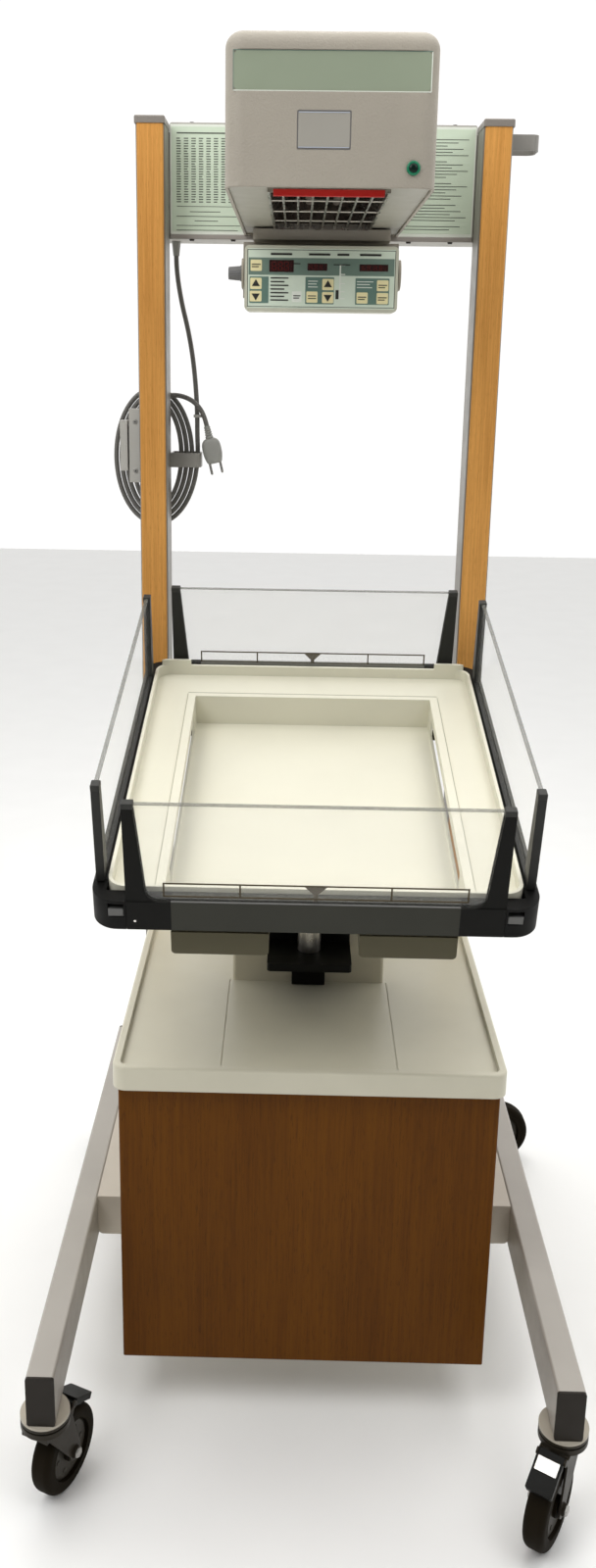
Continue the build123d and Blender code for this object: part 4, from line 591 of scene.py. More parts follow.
def area_light(name, place, target, size, power, color):
    d = bpy.data.lights.new(name, "AREA")
    d.shape = "RECTANGLE"
    d.size, d.size_y = size
    d.energy = power
    d.color = color
    o = add(bpy.data.objects.new(name, d))
    o.location = place
    o.rotation_euler = (Vector(target) - Vector(place)).to_track_quat("-Z", "Y").to_euler()


# Header: lip, two film sheets with plain strokes for their print, fasteners
HEADER_FRONT = 405.0                         # millimetres
HEADER_LIP, LIP_ROUND = ((-0.2578, 0.4041, 1.8018), (0.2578, 0.40498, 1.8085)), 0.0004
SHEET_X, SHEET_Z, SHEET_ROUND = (118.0, 257.0), (1809.5, 1983.5), 2.0
MINT_INSET, MINT_Z, MINT_ROUND = 2, (1814.5, 1979.5), 1.0
SHEET_LAYER, MINT_LAYER, PRINT_LAYER = (0.05, 0.3), (0.35, 0.25), (0.6, 0.1)
STROKE_ROUND = 0.1
GRID_COLUMNS, GRID_ROWS = 8, 26              # the left sheet's table of short strokes
GRID_LEFT, GRID_TOP, GRID_STEP_X, GRID_STEP_Z, GRID_STROKE = -246.5, 1962.0, 12.6, 4.0, 1.5
GRID_LONG, GRID_SHORT, GRID_CYCLE = 7.4, 6.0, 7
TABLE_RULES = ((-246.0, -146.0, 1853.6, 1854.4), (-246.0, -149.0, 1968.6, 1970.6))
NOTE_LINES = ((-224.0, -172.0), (-247.0, -140.0), (-216.0, -176.0), (-247.0, -138.0),
              (-247.0, -142.0))
NOTE_TOP, NOTE_STEP, NOTE_STROKE = 1846.0, 7.4, 1.0
TEXT_LINES, TEXT_LEFT, TEXT_RIGHT = 30, 140.0, 245.0
TEXT_TOP, TEXT_STEP, TEXT_STROKE, TEXT_RAG, PARAGRAPH = 1964.0, 4.9, 1.1, 9.0, 7
HEADER_SCREW_X = (-221.0, -150.0, 150.0, 221.0)
FOOT_SCREW, FOOT_SCREW_Y, FOOT_SCREW_Z = (0.0048, 0.0036, 0.0030, 20), 0.4085, 1.8016
TOP_SCREW, TOP_SCREW_Y, TOP_SCREW_Z = (0.0044, 0.0034, 0.0019, 20), 0.4130, 1.9859
REAR_BOLT = (0.0055, 0.0045, 0.0030, 6)
REAR_BOLTS = [(x, 0.492, z) for x in (-0.272, 0.272) for z in (1.83, 1.95)]


def header_sheets():
    boxes("header_lip", [HEADER_LIP], LIP, "frame", r=LIP_ROUND)
    for side, tag in SIDES:
        x0, x1 = sorted(side * x for x in SHEET_X)
        plates("header_sheet_" + tag, [(x0, x1, *SHEET_Z, SHEET_ROUND)], HEADER_FRONT,
               SHEET_LAYER, PALE)
        plates("header_mint_" + tag, [(x0 + MINT_INSET, x1 - MINT_INSET, *MINT_Z, MINT_ROUND)],
               HEADER_FRONT, MINT_LAYER, MINT)


def left_sheet_print():
    """A table of short strokes, its two rules and five lines below it."""
    rows = []
    for c in range(GRID_COLUMNS):
        x = GRID_LEFT + c * GRID_STEP_X
        for k in range(GRID_ROWS):
            z = GRID_TOP - k * GRID_STEP_Z
            w = GRID_LONG if (k * 5 + c * 3) % GRID_CYCLE else GRID_SHORT
            rows.append((x, x + w, z - GRID_STROKE, z, STROKE_ROUND))
    rows += [(*rule, STROKE_ROUND) for rule in TABLE_RULES]
    for k, (x0, x1) in enumerate(NOTE_LINES):
        z = NOTE_TOP - k * NOTE_STEP
        rows.append((x0, x1, z - NOTE_STROKE, z, STROKE_ROUND))
    plates("header_grid_left", rows, HEADER_FRONT, PRINT_LAYER, INK)


def right_sheet_print():
    """Lines of uneven length, in paragraphs."""
    rows = []
    for k in range(TEXT_LINES):
        z = TEXT_TOP - k * TEXT_STEP
        end = TEXT_RIGHT - (k * 37 % 5) * TEXT_RAG
        if (k + 1) % PARAGRAPH:
            rows.append((TEXT_LEFT, end, z - TEXT_STROKE, z, STROKE_ROUND))
    plates("header_grid_right", rows, HEADER_FRONT, PRINT_LAYER, INK)


def header_fasteners():
    bm = bmesh.new()
    for x in HEADER_SCREW_X:
        disc_into(bm, (x * MM, FOOT_SCREW_Y, FOOT_SCREW_Z), (0, 0, -1), FOOT_SCREW)
        disc_into(bm, (x * MM, TOP_SCREW_Y, TOP_SCREW_Z), (0, 0, 1), TOP_SCREW)
    make("header_screws", bm, SCREW, "frame")
    discs("header_rear_bolts", REAR_BOLTS, (0, 1, 0), REAR_BOLT, STEEL)


# Heater head, in millimetres: plate, label and their rims on its front
PLATE_FACE, LABEL_FACE = -213.5, -215.0
HEAD_PLATE = [(-119.4, 119.4, 1919.0, 1962.5, 5.0)]
# The plate's edges are painted light: a painted highlight along its bottom and right edge,
# painted shade along its top and left edge
PLATE_LIT_EDGES = [(-120.4, 120.4, 1917.9, 1918.9, 0.4), (119.6, 120.6, 1918.4, 1963.0, 0.4)]
PLATE_SHADED_EDGES = [(-120.4, 120.4, 1962.6, 1963.6, 0.4),
                    (-120.6, -119.6, 1918.4, 1963.0, 0.4)]
PLATE_LAYER, PLATE_EDGE_LAYER = (0.02, 0.9), (0.02, 1.1)
LABEL_FRAME = [(-42.0, 24.5, 1852.0, 1897.0, 2.0)]
LABEL_FIELD = [(-40.4, 22.9, 1853.8, 1895.2, 1.4)]
LABEL_RIMS = [(-40.0, 22.5, 1893.9, 1894.8, 0.3), (-40.0, 22.5, 1854.2, 1855.1, 0.3)]
FRAME_LAYER, LABEL_LAYER, LABEL_RIM_LAYER = (0.02, 0.4), (0.42, 0.3), (0.72, 0.1)
# In metres: lamp, red strip above the guard, and a row of rivets on the reflector
LAMP_PLACE = (0.102, -0.2150, 1.8320)
LAMP_RING = [(0.0062, 0.0), (0.0086, 0.0), (0.0086, 0.0022), (0.0078, 0.0030),
             (0.0062, 0.0030)]
LAMP_LENS = [(0.0060, 0.0), (0.0060, 0.0026), (0.0046, 0.0040), (0.0020, 0.0047)]
STRIP_FACE = ((-0.0705, -0.1835, 1.8020), (0.0705, -0.1810, 1.8100), 0.0009)
STRIP_FOLD = ((-0.0705, -0.1835, 1.8090), (0.0705, -0.1740, 1.8108), 0.0005)
RIVET, RIVET_Y, RIVET_Z = (0.0012, 0.0012, 0.0004, 8), -0.150, 1.8810
RIVET_COUNT, RIVET_START, RIVET_STEP = 22, -64, 6.1


def head_front():
    plates("head_plate", HEAD_PLATE, PLATE_FACE, PLATE_LAYER, MINT_HEAD)
    # Painted highlight and painted shade along the plate's edges
    plates("head_plate_lit_edge", PLATE_LIT_EDGES, PLATE_FACE, PLATE_EDGE_LAYER, PALE)
    plates("head_plate_shaded_edge", PLATE_SHADED_EDGES, PLATE_FACE, PLATE_EDGE_LAYER, BAND)
    plates("head_label_frame", LABEL_FRAME, LABEL_FACE, FRAME_LAYER, FOIL)
    plates("head_label", LABEL_FIELD, LABEL_FACE, LABEL_LAYER, LABEL)
    plates("head_label_rims", LABEL_RIMS, LABEL_FACE, LABEL_RIM_LAYER, RIM)
    lathe("head_lamp_ring", LAMP_RING, LAMP_PLACE, (0, -1, 0), GLOW, "frame")
    lathe("head_lamp", LAMP_LENS, LAMP_PLACE, (0, -1, 0), LENS, "frame")


def head_underside():
    bm = bmesh.new()
    box_into(bm, *STRIP_FACE)
    box_into(bm, *STRIP_FOLD)
    make("heater_warning_strip", bm, RED, "frame")
    rivets = [((RIVET_START + k * RIVET_STEP) * MM, RIVET_Y, RIVET_Z)
              for k in range(RIVET_COUNT)]
    discs("reflector_rivets", rivets, (0, 0, 1), RIVET, STEEL)


# Control face. Its layout is in pixels of an enlarged crop of the photograph, u across and
# v down, and these edges of the face tie the crop to millimetres.
CROP_LEFT, CROP_TOP, CROP_WIDTH, CROP_HEIGHT = 208.0, 150.0, 1240.0, 490.0
FACE_LEFT, FACE_TOP, FACE_WIDTH, FACE_HEIGHT = -119.0, 1774.6, 238.0, 87.2
FACE_FRONT = 269.0
FIELD_LAYER, BAND_LAYER, RIM_LAYER = (0.02, 0.15), (0.02, 0.18), (0.02, 0.25)
BLOCK_LAYER, DISPLAY_LAYER, SEGMENT_LAYER = (0.18, 0.15), (0.2, 0.3), (0.5, 0.05)
KEY_LAYER, PLAIN_KEY_LAYER = (0.33, 0.35), (0.17, 0.15)
MARK_LAYER, PALE_MARK_LAYER, ARROW_THICK = (0.68, 0.08), (0.34, 0.08), 0.15
SCALE_LAYER, SCALE_BLOCK_LAYER = (0.2, 0.2), (0.2, 0.25)
# Cells are u0, u1, v0, v1 and, where the list has no radius of its own, the corner radius
TOP_FIELD = (214, 1442, 156, 216, 2.0)
DARK_BAND = (214, 1442, 216, 366, 0.5)
LOW_FIELD = (214, 1442, 366, 634, 2.0)
GREEN_BLOCKS = ((222, 384, 380, 612), (695, 938, 380, 615), (1118, 1405, 385, 615))
BLOCK_ROUND, FACE_RIM_ROUND = 1.0, 0.4
FACE_RIM = ((203, 1453, 145, 151), (203, 1453, 638, 644), (203, 209, 146, 643),
            (1447, 1453, 146, 643))
DISPLAY_CELLS = ((388, 595, 235, 340, 0.8), (710, 877, 262, 325, 0.6),
                 (1148, 1390, 265, 325, 0.6))
KEY_CELLS = ((230, 325, 235, 332), (228, 325, 392, 490), (225, 325, 505, 598),
             (838, 935, 395, 492), (838, 935, 508, 605), (705, 800, 505, 603),
             (1300, 1398, 400, 495), (1130, 1225, 508, 605), (1300, 1398, 510, 608))
PLAIN_KEY, KEY_ROUND = (583, 665, 505, 600), 1.6
ARROWS = ((276, 441, 1), (275, 552, -1), (886, 443, 1), (886, 556, -1))
ARROW_HALF, ARROW_BASE = 6.6, 0.62
STATUS_LINES, STATUS_TOP, STATUS_STEP, STATUS_STROKE = 7, 386, 32, 11
STATUS_LEFT, STATUS_LONG, STATUS_SHORT = 400, 152, 118
KEY_MARKS = ((240, 315, 272), (240, 300, 292), (718, 788, 540), (718, 788, 562),
             (1312, 1386, 440), (1312, 1370, 460), (1142, 1212, 545), (1142, 1200, 565),
             (1312, 1386, 548), (1312, 1370, 568), (594, 655, 540), (594, 645, 560),
             (596, 650, 262), (930, 1070, 268))
MARK_STROKE, MARK_ROUND = 8, 0.2
HEADINGS = ((400, 580), (720, 900), (960, 1060), (1150, 1330))
HEADING_TOP, HEADING_FOOT = 176, 194
PALE_MARKS = ((718, 800, 412), (718, 790, 436), (718, 800, 462), (1130, 1270, 412),
              (1130, 1240, 436), (1130, 1260, 462))
PALE_STROKE = 7
SCALE_BAR, SCALE_BLOCK = (982, 993, 270, 570, 0.2), (952, 978, 490, 570, 0.3)
SCALE_TICKS, TICK_LEFT, TICK_RIGHT = (270, 350, 430, 500, 560), 993, 1030
DIGITS = ((410, 250, 38, 76), (462, 250, 38, 76), (514, 250, 38, 76), (726, 272, 28, 44),
          (768, 272, 28, 44), (810, 272, 28, 44), (1168, 275, 28, 42), (1212, 275, 28, 42),
          (1268, 275, 28, 42), (1312, 275, 28, 42))       # u, v, width and height
SEGMENT_SHARE, SEGMENT_ROUND = 0.16, 0.1     # of a digit's width, and millimetres
CASE_SCREW = (0.0028, 0.0022, 0.0012, 20)
CASE_SCREWS = [(x, 0.3312, z) for x in (-0.1155, 0.1155) for z in (1.6895, 1.7725)]


def face_x(u):
    return FACE_LEFT + (u - CROP_LEFT) / CROP_WIDTH * FACE_WIDTH


def face_z(v):
    return FACE_TOP - (v - CROP_TOP) / CROP_HEIGHT * FACE_HEIGHT


def cell(u0, u1, v0, v1, r):
    """A rectangle of the crop as a shape for plates."""
    return (face_x(u0), face_x(u1), face_z(v1), face_z(v0), r)


def face_plates(name, cells, layer, material):
    plates(name, cells, FACE_FRONT, layer, material, "control_box")


def face_fields():
    face_plates("face_top_band", [cell(*TOP_FIELD)], FIELD_LAYER, FACE)
    face_plates("face_dark_band", [cell(*DARK_BAND)], BAND_LAYER, BAND)
    face_plates("face_lower_field", [cell(*LOW_FIELD)], FIELD_LAYER, FACE)
    face_plates("face_green_blocks", [cell(*c, BLOCK_ROUND) for c in GREEN_BLOCKS],
                BLOCK_LAYER, DEEP)
    face_plates("face_rim", [cell(*c, FACE_RIM_ROUND) for c in FACE_RIM], RIM_LAYER, INK)
    face_plates("face_displays", [cell(*c) for c in DISPLAY_CELLS], DISPLAY_LAYER, DISPLAY)


def face_keys():
    face_plates("face_keys", [cell(*c, KEY_ROUND) for c in KEY_CELLS], KEY_LAYER, KEYS)
    face_plates("face_key_plain", [cell(*PLAIN_KEY, KEY_ROUND)], PLAIN_KEY_LAYER, PALE)
    bm = bmesh.new()
    for u, v, way in ARROWS:
        x, z = face_x(u), face_z(v)
        base = z - way * ARROW_HALF * ARROW_BASE
        pts = [(x - ARROW_HALF, base), (x + ARROW_HALF, base), (x, z + way * ARROW_HALF)]
        plate_into(bm, [(a * MM, b * MM) for a, b in pts], (FACE_FRONT - MARK_LAYER[0]) * MM,
                   ARROW_THICK * MM)
    make("face_arrows", bm, KEYINK, "control_box")


def face_marks():
    """Plain strokes where the real face has words."""
    marks = []
    for k in range(STATUS_LINES):
        v = STATUS_TOP + k * STATUS_STEP
        width = STATUS_SHORT if k % 2 else STATUS_LONG
        marks.append(cell(STATUS_LEFT, STATUS_LEFT + width, v, v + STATUS_STROKE, MARK_ROUND))
    marks += [cell(u0, u1, v, v + MARK_STROKE, MARK_ROUND) for u0, u1, v in KEY_MARKS]
    marks += [cell(u0, u1, HEADING_TOP, HEADING_FOOT, MARK_ROUND) for u0, u1 in HEADINGS]
    face_plates("face_marks", marks, MARK_LAYER, KEYINK)
    pale = [cell(u0, u1, v, v + PALE_STROKE, MARK_ROUND) for u0, u1, v in PALE_MARKS]
    face_plates("face_pale_marks", pale, PALE_MARK_LAYER, PALE)


def face_scale():
    ticks = [cell(*SCALE_BAR)]
    ticks += [cell(TICK_LEFT, TICK_RIGHT, v, v + MARK_STROKE, MARK_ROUND)
              for v in SCALE_TICKS]
    face_plates("face_scale", ticks, SCALE_LAYER, PALE)
    face_plates("face_scale_block", [cell(*SCALE_BLOCK)], SCALE_BLOCK_LAYER, KEYINK)


def digit_segments(u, v, w, h):
    """Three level and four upright segments of one digit."""
    t = w * SEGMENT_SHARE
    level = [(v, v + t), (v + h / 2 - t / 2, v + h / 2 + t / 2), (v + h - t, v + h)]
    segs = [cell(u + t, u + w - t, v0, v1, SEGMENT_ROUND) for v0, v1 in level]
    for u0, u1 in ((u, u + t), (u + w - t, u + w)):
        segs.append(cell(u0, u1, v + t, v + h / 2 - t, SEGMENT_ROUND))
        segs.append(cell(u0, u1, v + h / 2 + t, v + h - t, SEGMENT_ROUND))
    return segs


def face_digits():
    segs = [s for digit in DIGITS for s in digit_segments(*digit)]
    face_plates("display_digits", segs, SEGMENT_LAYER, SEGMENT)
    discs("case_screws", CASE_SCREWS, (0, 1, 0), CASE_SCREW, SCREW, "control_box")


# Knob ribs
KNOB_CENTRE, RIB_RING, RIB_LEAN, RIB_COUNT = (-0.1340, 0.300, 1.740), 0.0104, 0.075, 16
KNOB_RIB = (0.0011, 0.0009, 0.0175, 8)


def knob_grip():
    bm = bmesh.new()
    x, y, z = KNOB_CENTRE
    for k in range(RIB_COUNT):
        t = 2 * math.pi * k / RIB_COUNT
        foot = Vector((x, y + RIB_RING * math.cos(t), z + RIB_RING * math.sin(t)))
        disc_into(bm, foot, (-1, -RIB_LEAN * math.cos(t), -RIB_LEAN * math.sin(t)), KNOB_RIB)
    make("knob_ribs", bm, KNOB, "knob")


# Screws of the cord bracket
BRACKET_X, BRACKET_SCREW_Z = -0.316, (1.412, 1.496)
BRACKET_SCREW, BRACKET_SCREW_Y = (0.0042, 0.0034, 0.0014, 24), 0.3522
BRACKET_SOCKET, BRACKET_SOCKET_Y = (0.0014, 0.0014, 0.0003, 6), 0.3509


def bracket_details():
    discs("cord_bracket_screws", [(BRACKET_X, BRACKET_SCREW_Y, z) for z in BRACKET_SCREW_Z],
          (0, -1, 0), BRACKET_SCREW, STEEL)
    discs("cord_bracket_sockets", [(BRACKET_X, BRACKET_SOCKET_Y, z) for z in BRACKET_SCREW_Z],
          (0, -1, 0), BRACKET_SOCKET, KEYINK, "frame")


# Bed, in the bed's own axes
def on_panel(tag, name, corners, material, r, seg=2):
    """Boxes that ride on one of the bed's four panels."""
    boxes(tag + name, corners, material, tag + "_panel", BED, r, seg)


def beside(side, xs, ys, zs):
    """A box on the left or the right, from its ranges on the right."""
    x0, x1 = sorted(side * x for x in xs)
    return (x0, ys[0], zs[0]), (x1, ys[1], zs[1])


def mirrored(xs, ys, zs):
    return [beside(side, xs, ys, zs) for side, _ in SIDES]


# Upper edges of the clear sheets
EDGE_Z, EDGE_ROUND = (0.1446, 0.1463), 0.0005
END_EDGE_X = (-0.2345, 0.2345)
END_EDGES_Y = (("front", (0.0040, 0.0100)), ("rear", (0.6840, 0.6900)))
SIDE_EDGE_X, SIDE_EDGE_Y = (0.2788, 0.2848), (0.0560, 0.6380)


def panel_edges():
    for tag, ys in END_EDGES_Y:
        on_panel(tag, "_glass_edge", [beside(1, END_EDGE_X, ys, EDGE_Z)], EDGE,
                 EDGE_ROUND)
    for side, tag in SIDES:
        on_panel(tag, "_glass_edge", [beside(side, SIDE_EDGE_X, SIDE_EDGE_Y, EDGE_Z)], EDGE,
                 EDGE_ROUND)


# Line drawing of the insert on the front and rear sheet, in millimetres
INSERT_SHEETS, INSERT_DEPTH = (("front", 4.2), ("rear", 684.3)), 0.5
LINE, INSERT_HALF, INSERT_MID, INSERT_LOW, INSERT_HIGH = 2.3, 196, 98, 6.0, 26.0
INSERT_BARS = [(-INSERT_HALF, INSERT_HALF, INSERT_LOW, INSERT_LOW + LINE),
               (-INSERT_HALF, INSERT_HALF, INSERT_HIGH, INSERT_HIGH + LINE),
               (-INSERT_HALF, -INSERT_HALF + LINE, INSERT_LOW, INSERT_HIGH),
               (INSERT_HALF - LINE, INSERT_HALF, INSERT_LOW, INSERT_HIGH),
               (-INSERT_MID, -INSERT_MID + LINE, INSERT_LOW, INSERT_HIGH),
               (INSERT_MID - LINE, INSERT_MID, INSERT_LOW, INSERT_HIGH)]
POINTER = [(-16, 27.5), (16, 27.5), (3, 14.0), (3, 3.0), (-3, 3.0), (-3, 14.0)]
POINTER_THICK = 0.0005


def insert_lines():
    for tag, y in INSERT_SHEETS:
        bm = bmesh.new()
        back = (y + INSERT_DEPTH) * MM
        for x0, x1, z0, z1 in INSERT_BARS:
            box_into(bm, (x0 * MM, y * MM, z0 * MM), (x1 * MM, back, z1 * MM))
        plate_into(bm, [(a * MM, b * MM) for a, b in POINTER], back, POINTER_THICK)
        make(tag + "_insert_line", bm, INSERT, tag + "_panel", BED)


# Dark moulded tips of the posts
TIP_Z, TIP_ROUND, TIP_SEG = (0.1400, 0.1482), 0.0014, 3
SIDE_TIP_X, SIDE_TIPS_Y = (0.2756, 0.2879), ((0.0416, 0.0570), (0.6370, 0.6524))
END_TIP_X = (0.2290, 0.2444)
END_TIPS_Y = (("front", (0.0006, 0.0134)), ("rear", (0.6806, 0.6934)))


def post_tips():
    for side, tag in SIDES:
        tips = [beside(side, SIDE_TIP_X, ys, TIP_Z) for ys in SIDE_TIPS_Y]
        on_panel(tag, "_post_tips", tips, TIP, TIP_ROUND, TIP_SEG)
    for tag, ys in END_TIPS_Y:
        on_panel(tag, "_post_tips", mirrored(END_TIP_X, ys, TIP_Z), TIP,
                 TIP_ROUND, TIP_SEG)


# Front bar: a painted highlight along its upper edge, dark joints at its strip's ends, one pin
BAR_PAINTED_HIGHLIGHT, HIGHLIGHT_ROUND = ((-BAR_STRIP_X, 0.0006, -0.0010), (BAR_STRIP_X, 0.0040, 0.0006)), 0.0004
JOINT_X, JOINT_Y, JOINT_Z = (BAR_STRIP_X, 0.1872), (-0.0002, 0.0040), (-0.0438, -0.0004)
BAR_PIN, BAR_PIN_PLACE = (0.0022, 0.0016, 0.0006, 12), (-0.233, -0.0002, -0.0300)


def front_bar():
    on_panel("front", "_bar_painted_highlight", [BAR_PAINTED_HIGHLIGHT], TAB, HIGHLIGHT_ROUND)
    on_panel("front", "_bar_joints", mirrored(JOINT_X, JOINT_Y, JOINT_Z), BLACK,
             0.0)
    discs("bar_pin", [BAR_PIN_PLACE], (0, -1, 0), BAR_PIN, BRIGHT, "front_panel", place=BED)


# Tray: painted shade, a fine dark line along the foot of the raised lip round the recess, at
# its sides and rear
LIP_SHADE_X, LIP_SHADE_Y, LIP_SHADE_Z = (0.2111, 0.2124), (0.0310, 0.5982), (-0.0111, -0.0106)
REAR_LIP_SHADE = ((-0.2109, 0.5952, -0.0081), (0.2109, 0.5968, -0.0077))
PAN_SCREW = (0.0045, 0.0036, 0.0022, 20)
PAN_SCREWS = [(x, y, -0.1020) for x in (-0.150, -0.070, 0.070, 0.150)
              for y in (0.060, 0.600)]


def tray_lip_shade():
    boxes("tray_lip_shade", mirrored(LIP_SHADE_X, LIP_SHADE_Y, LIP_SHADE_Z) + [REAR_LIP_SHADE], LIP_SHADE,
          "bed", BED)


def pan_screws():
    discs("pan_screws", PAN_SCREWS, (0, 0, -1), PAN_SCREW, STEEL, "bed", place=BED)


# Casters, in each caster's own axes: x from the swivel to the axle, z up from the floor
SWIVEL_X, SWIVEL_Y, AXLE_X, AXLE_Z = 0.366, 0.426, 0.040, 0.0625
CASTERS = (("front_left", -SWIVEL_X, -SWIVEL_Y, 66.0),
           ("front_right", SWIVEL_X, -SWIVEL_Y, 238.0),
           ("rear_left", -SWIVEL_X, SWIVEL_Y, 90.0),
           ("rear_right", SWIVEL_X, SWIVEL_Y, 3.0))       # place and angle of each
WHEEL_DISC, WHEEL_DISC_OUT = (0.0425, 0.0395, 0.0012, 48), 0.0100
WHEEL_BOSS, WHEEL_BOSS_OUT = (0.0040, 0.0034, 0.0014, 16), 0.0108
BOSS_RING, BOSS_COUNT = 0.029, 6
AXLE_NUT, AXLE_NUT_OUT = (0.0078, 0.0070, 0.0028, 6), 0.0257
PEDAL_PIVOT, PEDAL_SLOPE = (0.043, 0, 0.1427), math.radians(30.0)
PEDAL_PLATE, PEDAL_ROUND = ((0.0062, -0.0158, 0.0066), (0.0250, 0.0158, 0.0074)), 0.0003


def caster_place(x, y, angle):
    return Matrix.Translation((x, y, 0)) @ Matrix.Rotation(math.radians(angle), 4, "Z")


def caster_details():
    for tag, x, y, angle in CASTERS:
        place = caster_place(x, y, angle)
        wheel = bmesh.new()
        for side, _ in SIDES:
            disc_into(wheel, (AXLE_X, side * WHEEL_DISC_OUT, AXLE_Z), (0, side, 0),
                      WHEEL_DISC)
            for k in range(BOSS_COUNT):
                t = 2 * math.pi * k / BOSS_COUNT
                disc_into(wheel, (AXLE_X + BOSS_RING * math.cos(t), side * WHEEL_BOSS_OUT,
                                  AXLE_Z + BOSS_RING * math.sin(t)), (0, side, 0), WHEEL_BOSS)
        make("wheel_disc_" + tag, wheel, WHEELDISC, "wheel_" + tag, place)
        nuts = bmesh.new()
        for side, _ in SIDES:
            disc_into(nuts, (AXLE_X, side * AXLE_NUT_OUT, AXLE_Z), (0, side, 0), AXLE_NUT)
        make("axle_nut_" + tag, nuts, STEEL, "caster_" + tag, place)


def pedal_plate():
    """Bright spring plate on the foot of the right brake pedal."""
    tag, x, y, angle = CASTERS[1]
    place = (caster_place(x, y, angle) @ Matrix.Translation(PEDAL_PIVOT)
             @ Matrix.Rotation(PEDAL_SLOPE, 4, "Y"))
    boxes("pedal_plate", [PEDAL_PLATE], BRIGHT, "pedal_" + tag, place,
          PEDAL_ROUND)


# Plug, in millimetres on its own axis: the middle of its upper end, and how it leans
PLUG_TOP, PLUG_LEAN = (-191.0, 414.0, 1467.0), math.radians(13.0)
PLUG_LEVELS = ((0.0, 8.0, 7.0), (-4.0, 13.5, 9.0), (-10.0, 16.8, 10.4),
               (-22.0, 17.4, 10.8), (-33.0, 16.8, 10.6), (-43.0, 13.6, 10.0),
               (-46.0, 12.6, 9.4))           # height and the two half widths
PLUG_STEPS, PLUG_SQUARE = 40, 0.62
RELIEF_FOOT, RELIEF_TIP, RELIEF_LENGTH = 6.9, 4.9, 22.0
RELIEF_RIBS, RIB_STEP, RIB_WIDTH, RIB_DEPTH, RIB_THINNER = 5, 4.1, 2.2, 1.2, 0.28
RIB_SLOPE, RIB_GAP = 2.5, 3.8
PIN_OUT, PIN_FOOT, PIN_END = 0.0095, -0.0455, -0.0630     # metres, as the pins' sizes
PLUG_PIN, PIN_TIP = (0.0024, 0.0024, 0.0175, 20), (0.0024, 0.0014, 0.0018, 20)


def plug_body(place):
    """Waisted body, its section between an oval and a rectangle."""
    bm = bmesh.new()
    rings = []
    for h, half_x, half_y in PLUG_LEVELS:
        ring = []
        for k in range(PLUG_STEPS):
            t = 2 * math.pi * k / PLUG_STEPS
            c, s = math.cos(t), math.sin(t)
            x = math.copysign(abs(c) ** PLUG_SQUARE, c) * half_x
            y = math.copysign(abs(s) ** PLUG_SQUARE, s) * half_y
            ring.append(bm.verts.new((x * MM, y * MM, h * MM)))
        rings.append(ring)
    skin(bm, rings)
    plug = make("plug_body", bm, PLUG, "frame", place, smooth=True)
    soft = plug.modifiers.new("soft", "SUBSURF")
    soft.levels = 1
    soft.render_levels = 2
    return plug


def plug_relief(place):
    """Ribbed strain relief."""
    profile = [(RELIEF_FOOT, -1.0)]
    for k in range(RELIEF_RIBS):
        h = 1.0 + k * RIB_STEP
        r = RELIEF_FOOT - k * RIB_THINNER
        profile += [(r, h), (r, h + RIB_WIDTH), (r - RIB_DEPTH, h + RIB_SLOPE),
                    (r - RIB_DEPTH, h + RIB_GAP)]
    profile.append((RELIEF_TIP, RELIEF_LENGTH))
    return lathe("plug_relief", [(r * MM, h * MM) for r, h in profile], (0, 0, 0),
                 (0, 0, 1), PLUG, "frame", place)


def plug_pins(place):
    bm = bmesh.new()
    for side, _ in SIDES:
        disc_into(bm, (side * PIN_OUT, 0, PIN_FOOT), (0, 0, -1), PLUG_PIN)
        disc_into(bm, (side * PIN_OUT, 0, PIN_END), (0, 0, -1), PIN_TIP)
    return make("plug_pins", bm, STEEL, "frame", place)


def plug_details():
    """Moulded plug on the solid plug's axis."""
    place = (Matrix.Translation([c * MM for c in PLUG_TOP])
             @ Matrix.Rotation(-PLUG_LEAN, 4, "Y"))
    plug = plug_body(place)
    pieces = [plug, plug_relief(place), plug_pins(place)]
    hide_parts("mains_plug")
    return pieces


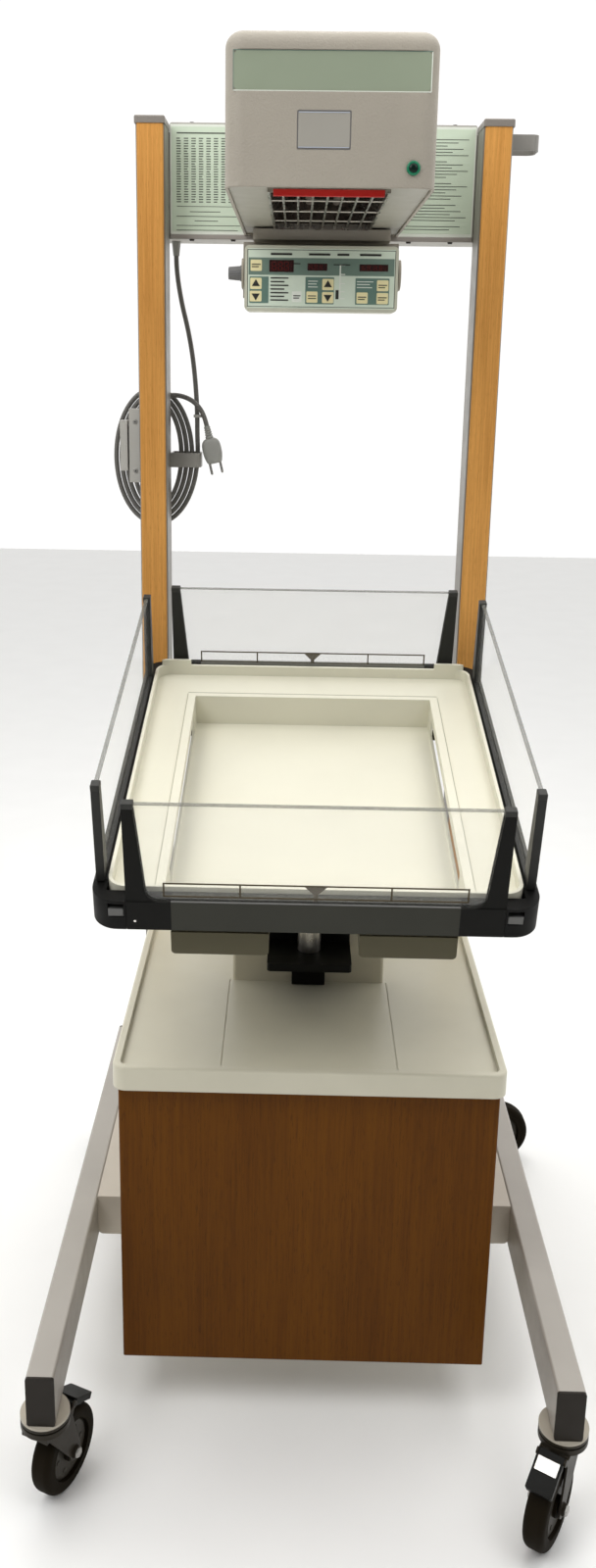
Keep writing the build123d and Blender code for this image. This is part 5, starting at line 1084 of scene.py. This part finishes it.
# Cord route, in millimetres: drop, coil and tail, whose points part.py has too
COIL = (-289.0, 424.0, 1434.0)
HALF_W, HALF_H, TURN_PITCH, QUARTERS, DIP = 75.5, 124.0, 9.6, 14, 2.0
TURN_STEPS, DIP_STEPS = 16, 4
OUTSET = 1.019                               # control points lie outside the line they give
CORD_RADIUS, CORD_SIDES, CORD_STEPS = 4.25, 5, 8
DROP = [(-252.0, 452.0, 1777.5), (-252.0, 452.0, 1753.5), (-243.0, 447.0, 1700.0),
        (-231.0, 440.0, 1655.0), (-222.0, 433.0, 1608.0), (-216.5, 427.5, 1560.0),
        (-213.5, 424.6, 1512.0), (-213.5, 424.0, 1474.0)]
TAIL = [(-328.9, 424.0, 1453.0), (-326.5, 419.0, 1475.5), (-322.5, 414.0, 1493.0),
        (-314.5, 414.0, 1510.0), (-302.5, 414.0, 1524.5), (-286.0, 414.0, 1534.5),
        (-267.5, 414.0, 1540.0), (-248.0, 414.0, 1541.0), (-229.0, 414.0, 1536.0),
        (-212.5, 414.0, 1525.0)]
TAIL_RUN = 39.6                              # last bend, measured up from the plug


def above_plug(along):
    """A place on the plug's axis."""
    x, y, z = PLUG_TOP
    return (x - along * math.sin(PLUG_LEAN), y, z + along * math.cos(PLUG_LEAN))


def coil_turns():
    """Oval turns in one plane, clockwise from the right and winding inwards."""
    turns = []
    count = int(QUARTERS / 4 * TURN_STEPS)
    for i in range(count + 1):
        t = i / TURN_STEPS
        shrink = TURN_PITCH * t
        if i > count - DIP_STEPS:
            shrink += DIP * (i - count + DIP_STEPS) / DIP_STEPS
        a = (HALF_W - shrink) * OUTSET
        b = (HALF_H - shrink) * OUTSET
        angle = -2 * math.pi * t
        turns.append((COIL[0] + a * math.cos(angle), COIL[1], COIL[2] + b * math.sin(angle)))
    return turns


def mains_cord():
    curve = bpy.data.curves.new("mains_cord", "CURVE")
    curve.dimensions = "3D"
    line = curve.splines.new("NURBS")
    route = DROP + coil_turns() + TAIL + [above_plug(TAIL_RUN), above_plug(RELIEF_LENGTH)]
    line.points.add(len(route) - 1)
    for p, c in zip(line.points, route):
        p.co = (c[0] * MM, c[1] * MM, c[2] * MM, 1.0)
    line.order_u = 3
    line.use_endpoint_u = True
    curve.bevel_depth = CORD_RADIUS * MM
    curve.bevel_resolution = CORD_SIDES
    curve.resolution_u = CORD_STEPS
    curve.materials.append(GREY)
    return add(bpy.data.objects.new("mains_cord", curve))


camera()
studio_floor()
studio_world()
# The default view transform would grey the pale enamels and the floor
bpy.context.scene.view_settings.view_transform = "Standard"
for light in LIGHTS:
    area_light(*light)

bracket_details()
header_sheets()
left_sheet_print()
right_sheet_print()
header_fasteners()
head_front()
head_underside()
face_fields()
face_keys()
face_marks()
face_scale()
face_digits()
knob_grip()
tray_lip_shade()
panel_edges()
insert_lines()
post_tips()
front_bar()
pan_screws()
caster_details()
pedal_plate()

cord = mains_cord()
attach(cord, "frame")
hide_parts("cord_drop", "cord_coil", "cord_tail")
plug_pieces = plug_details()
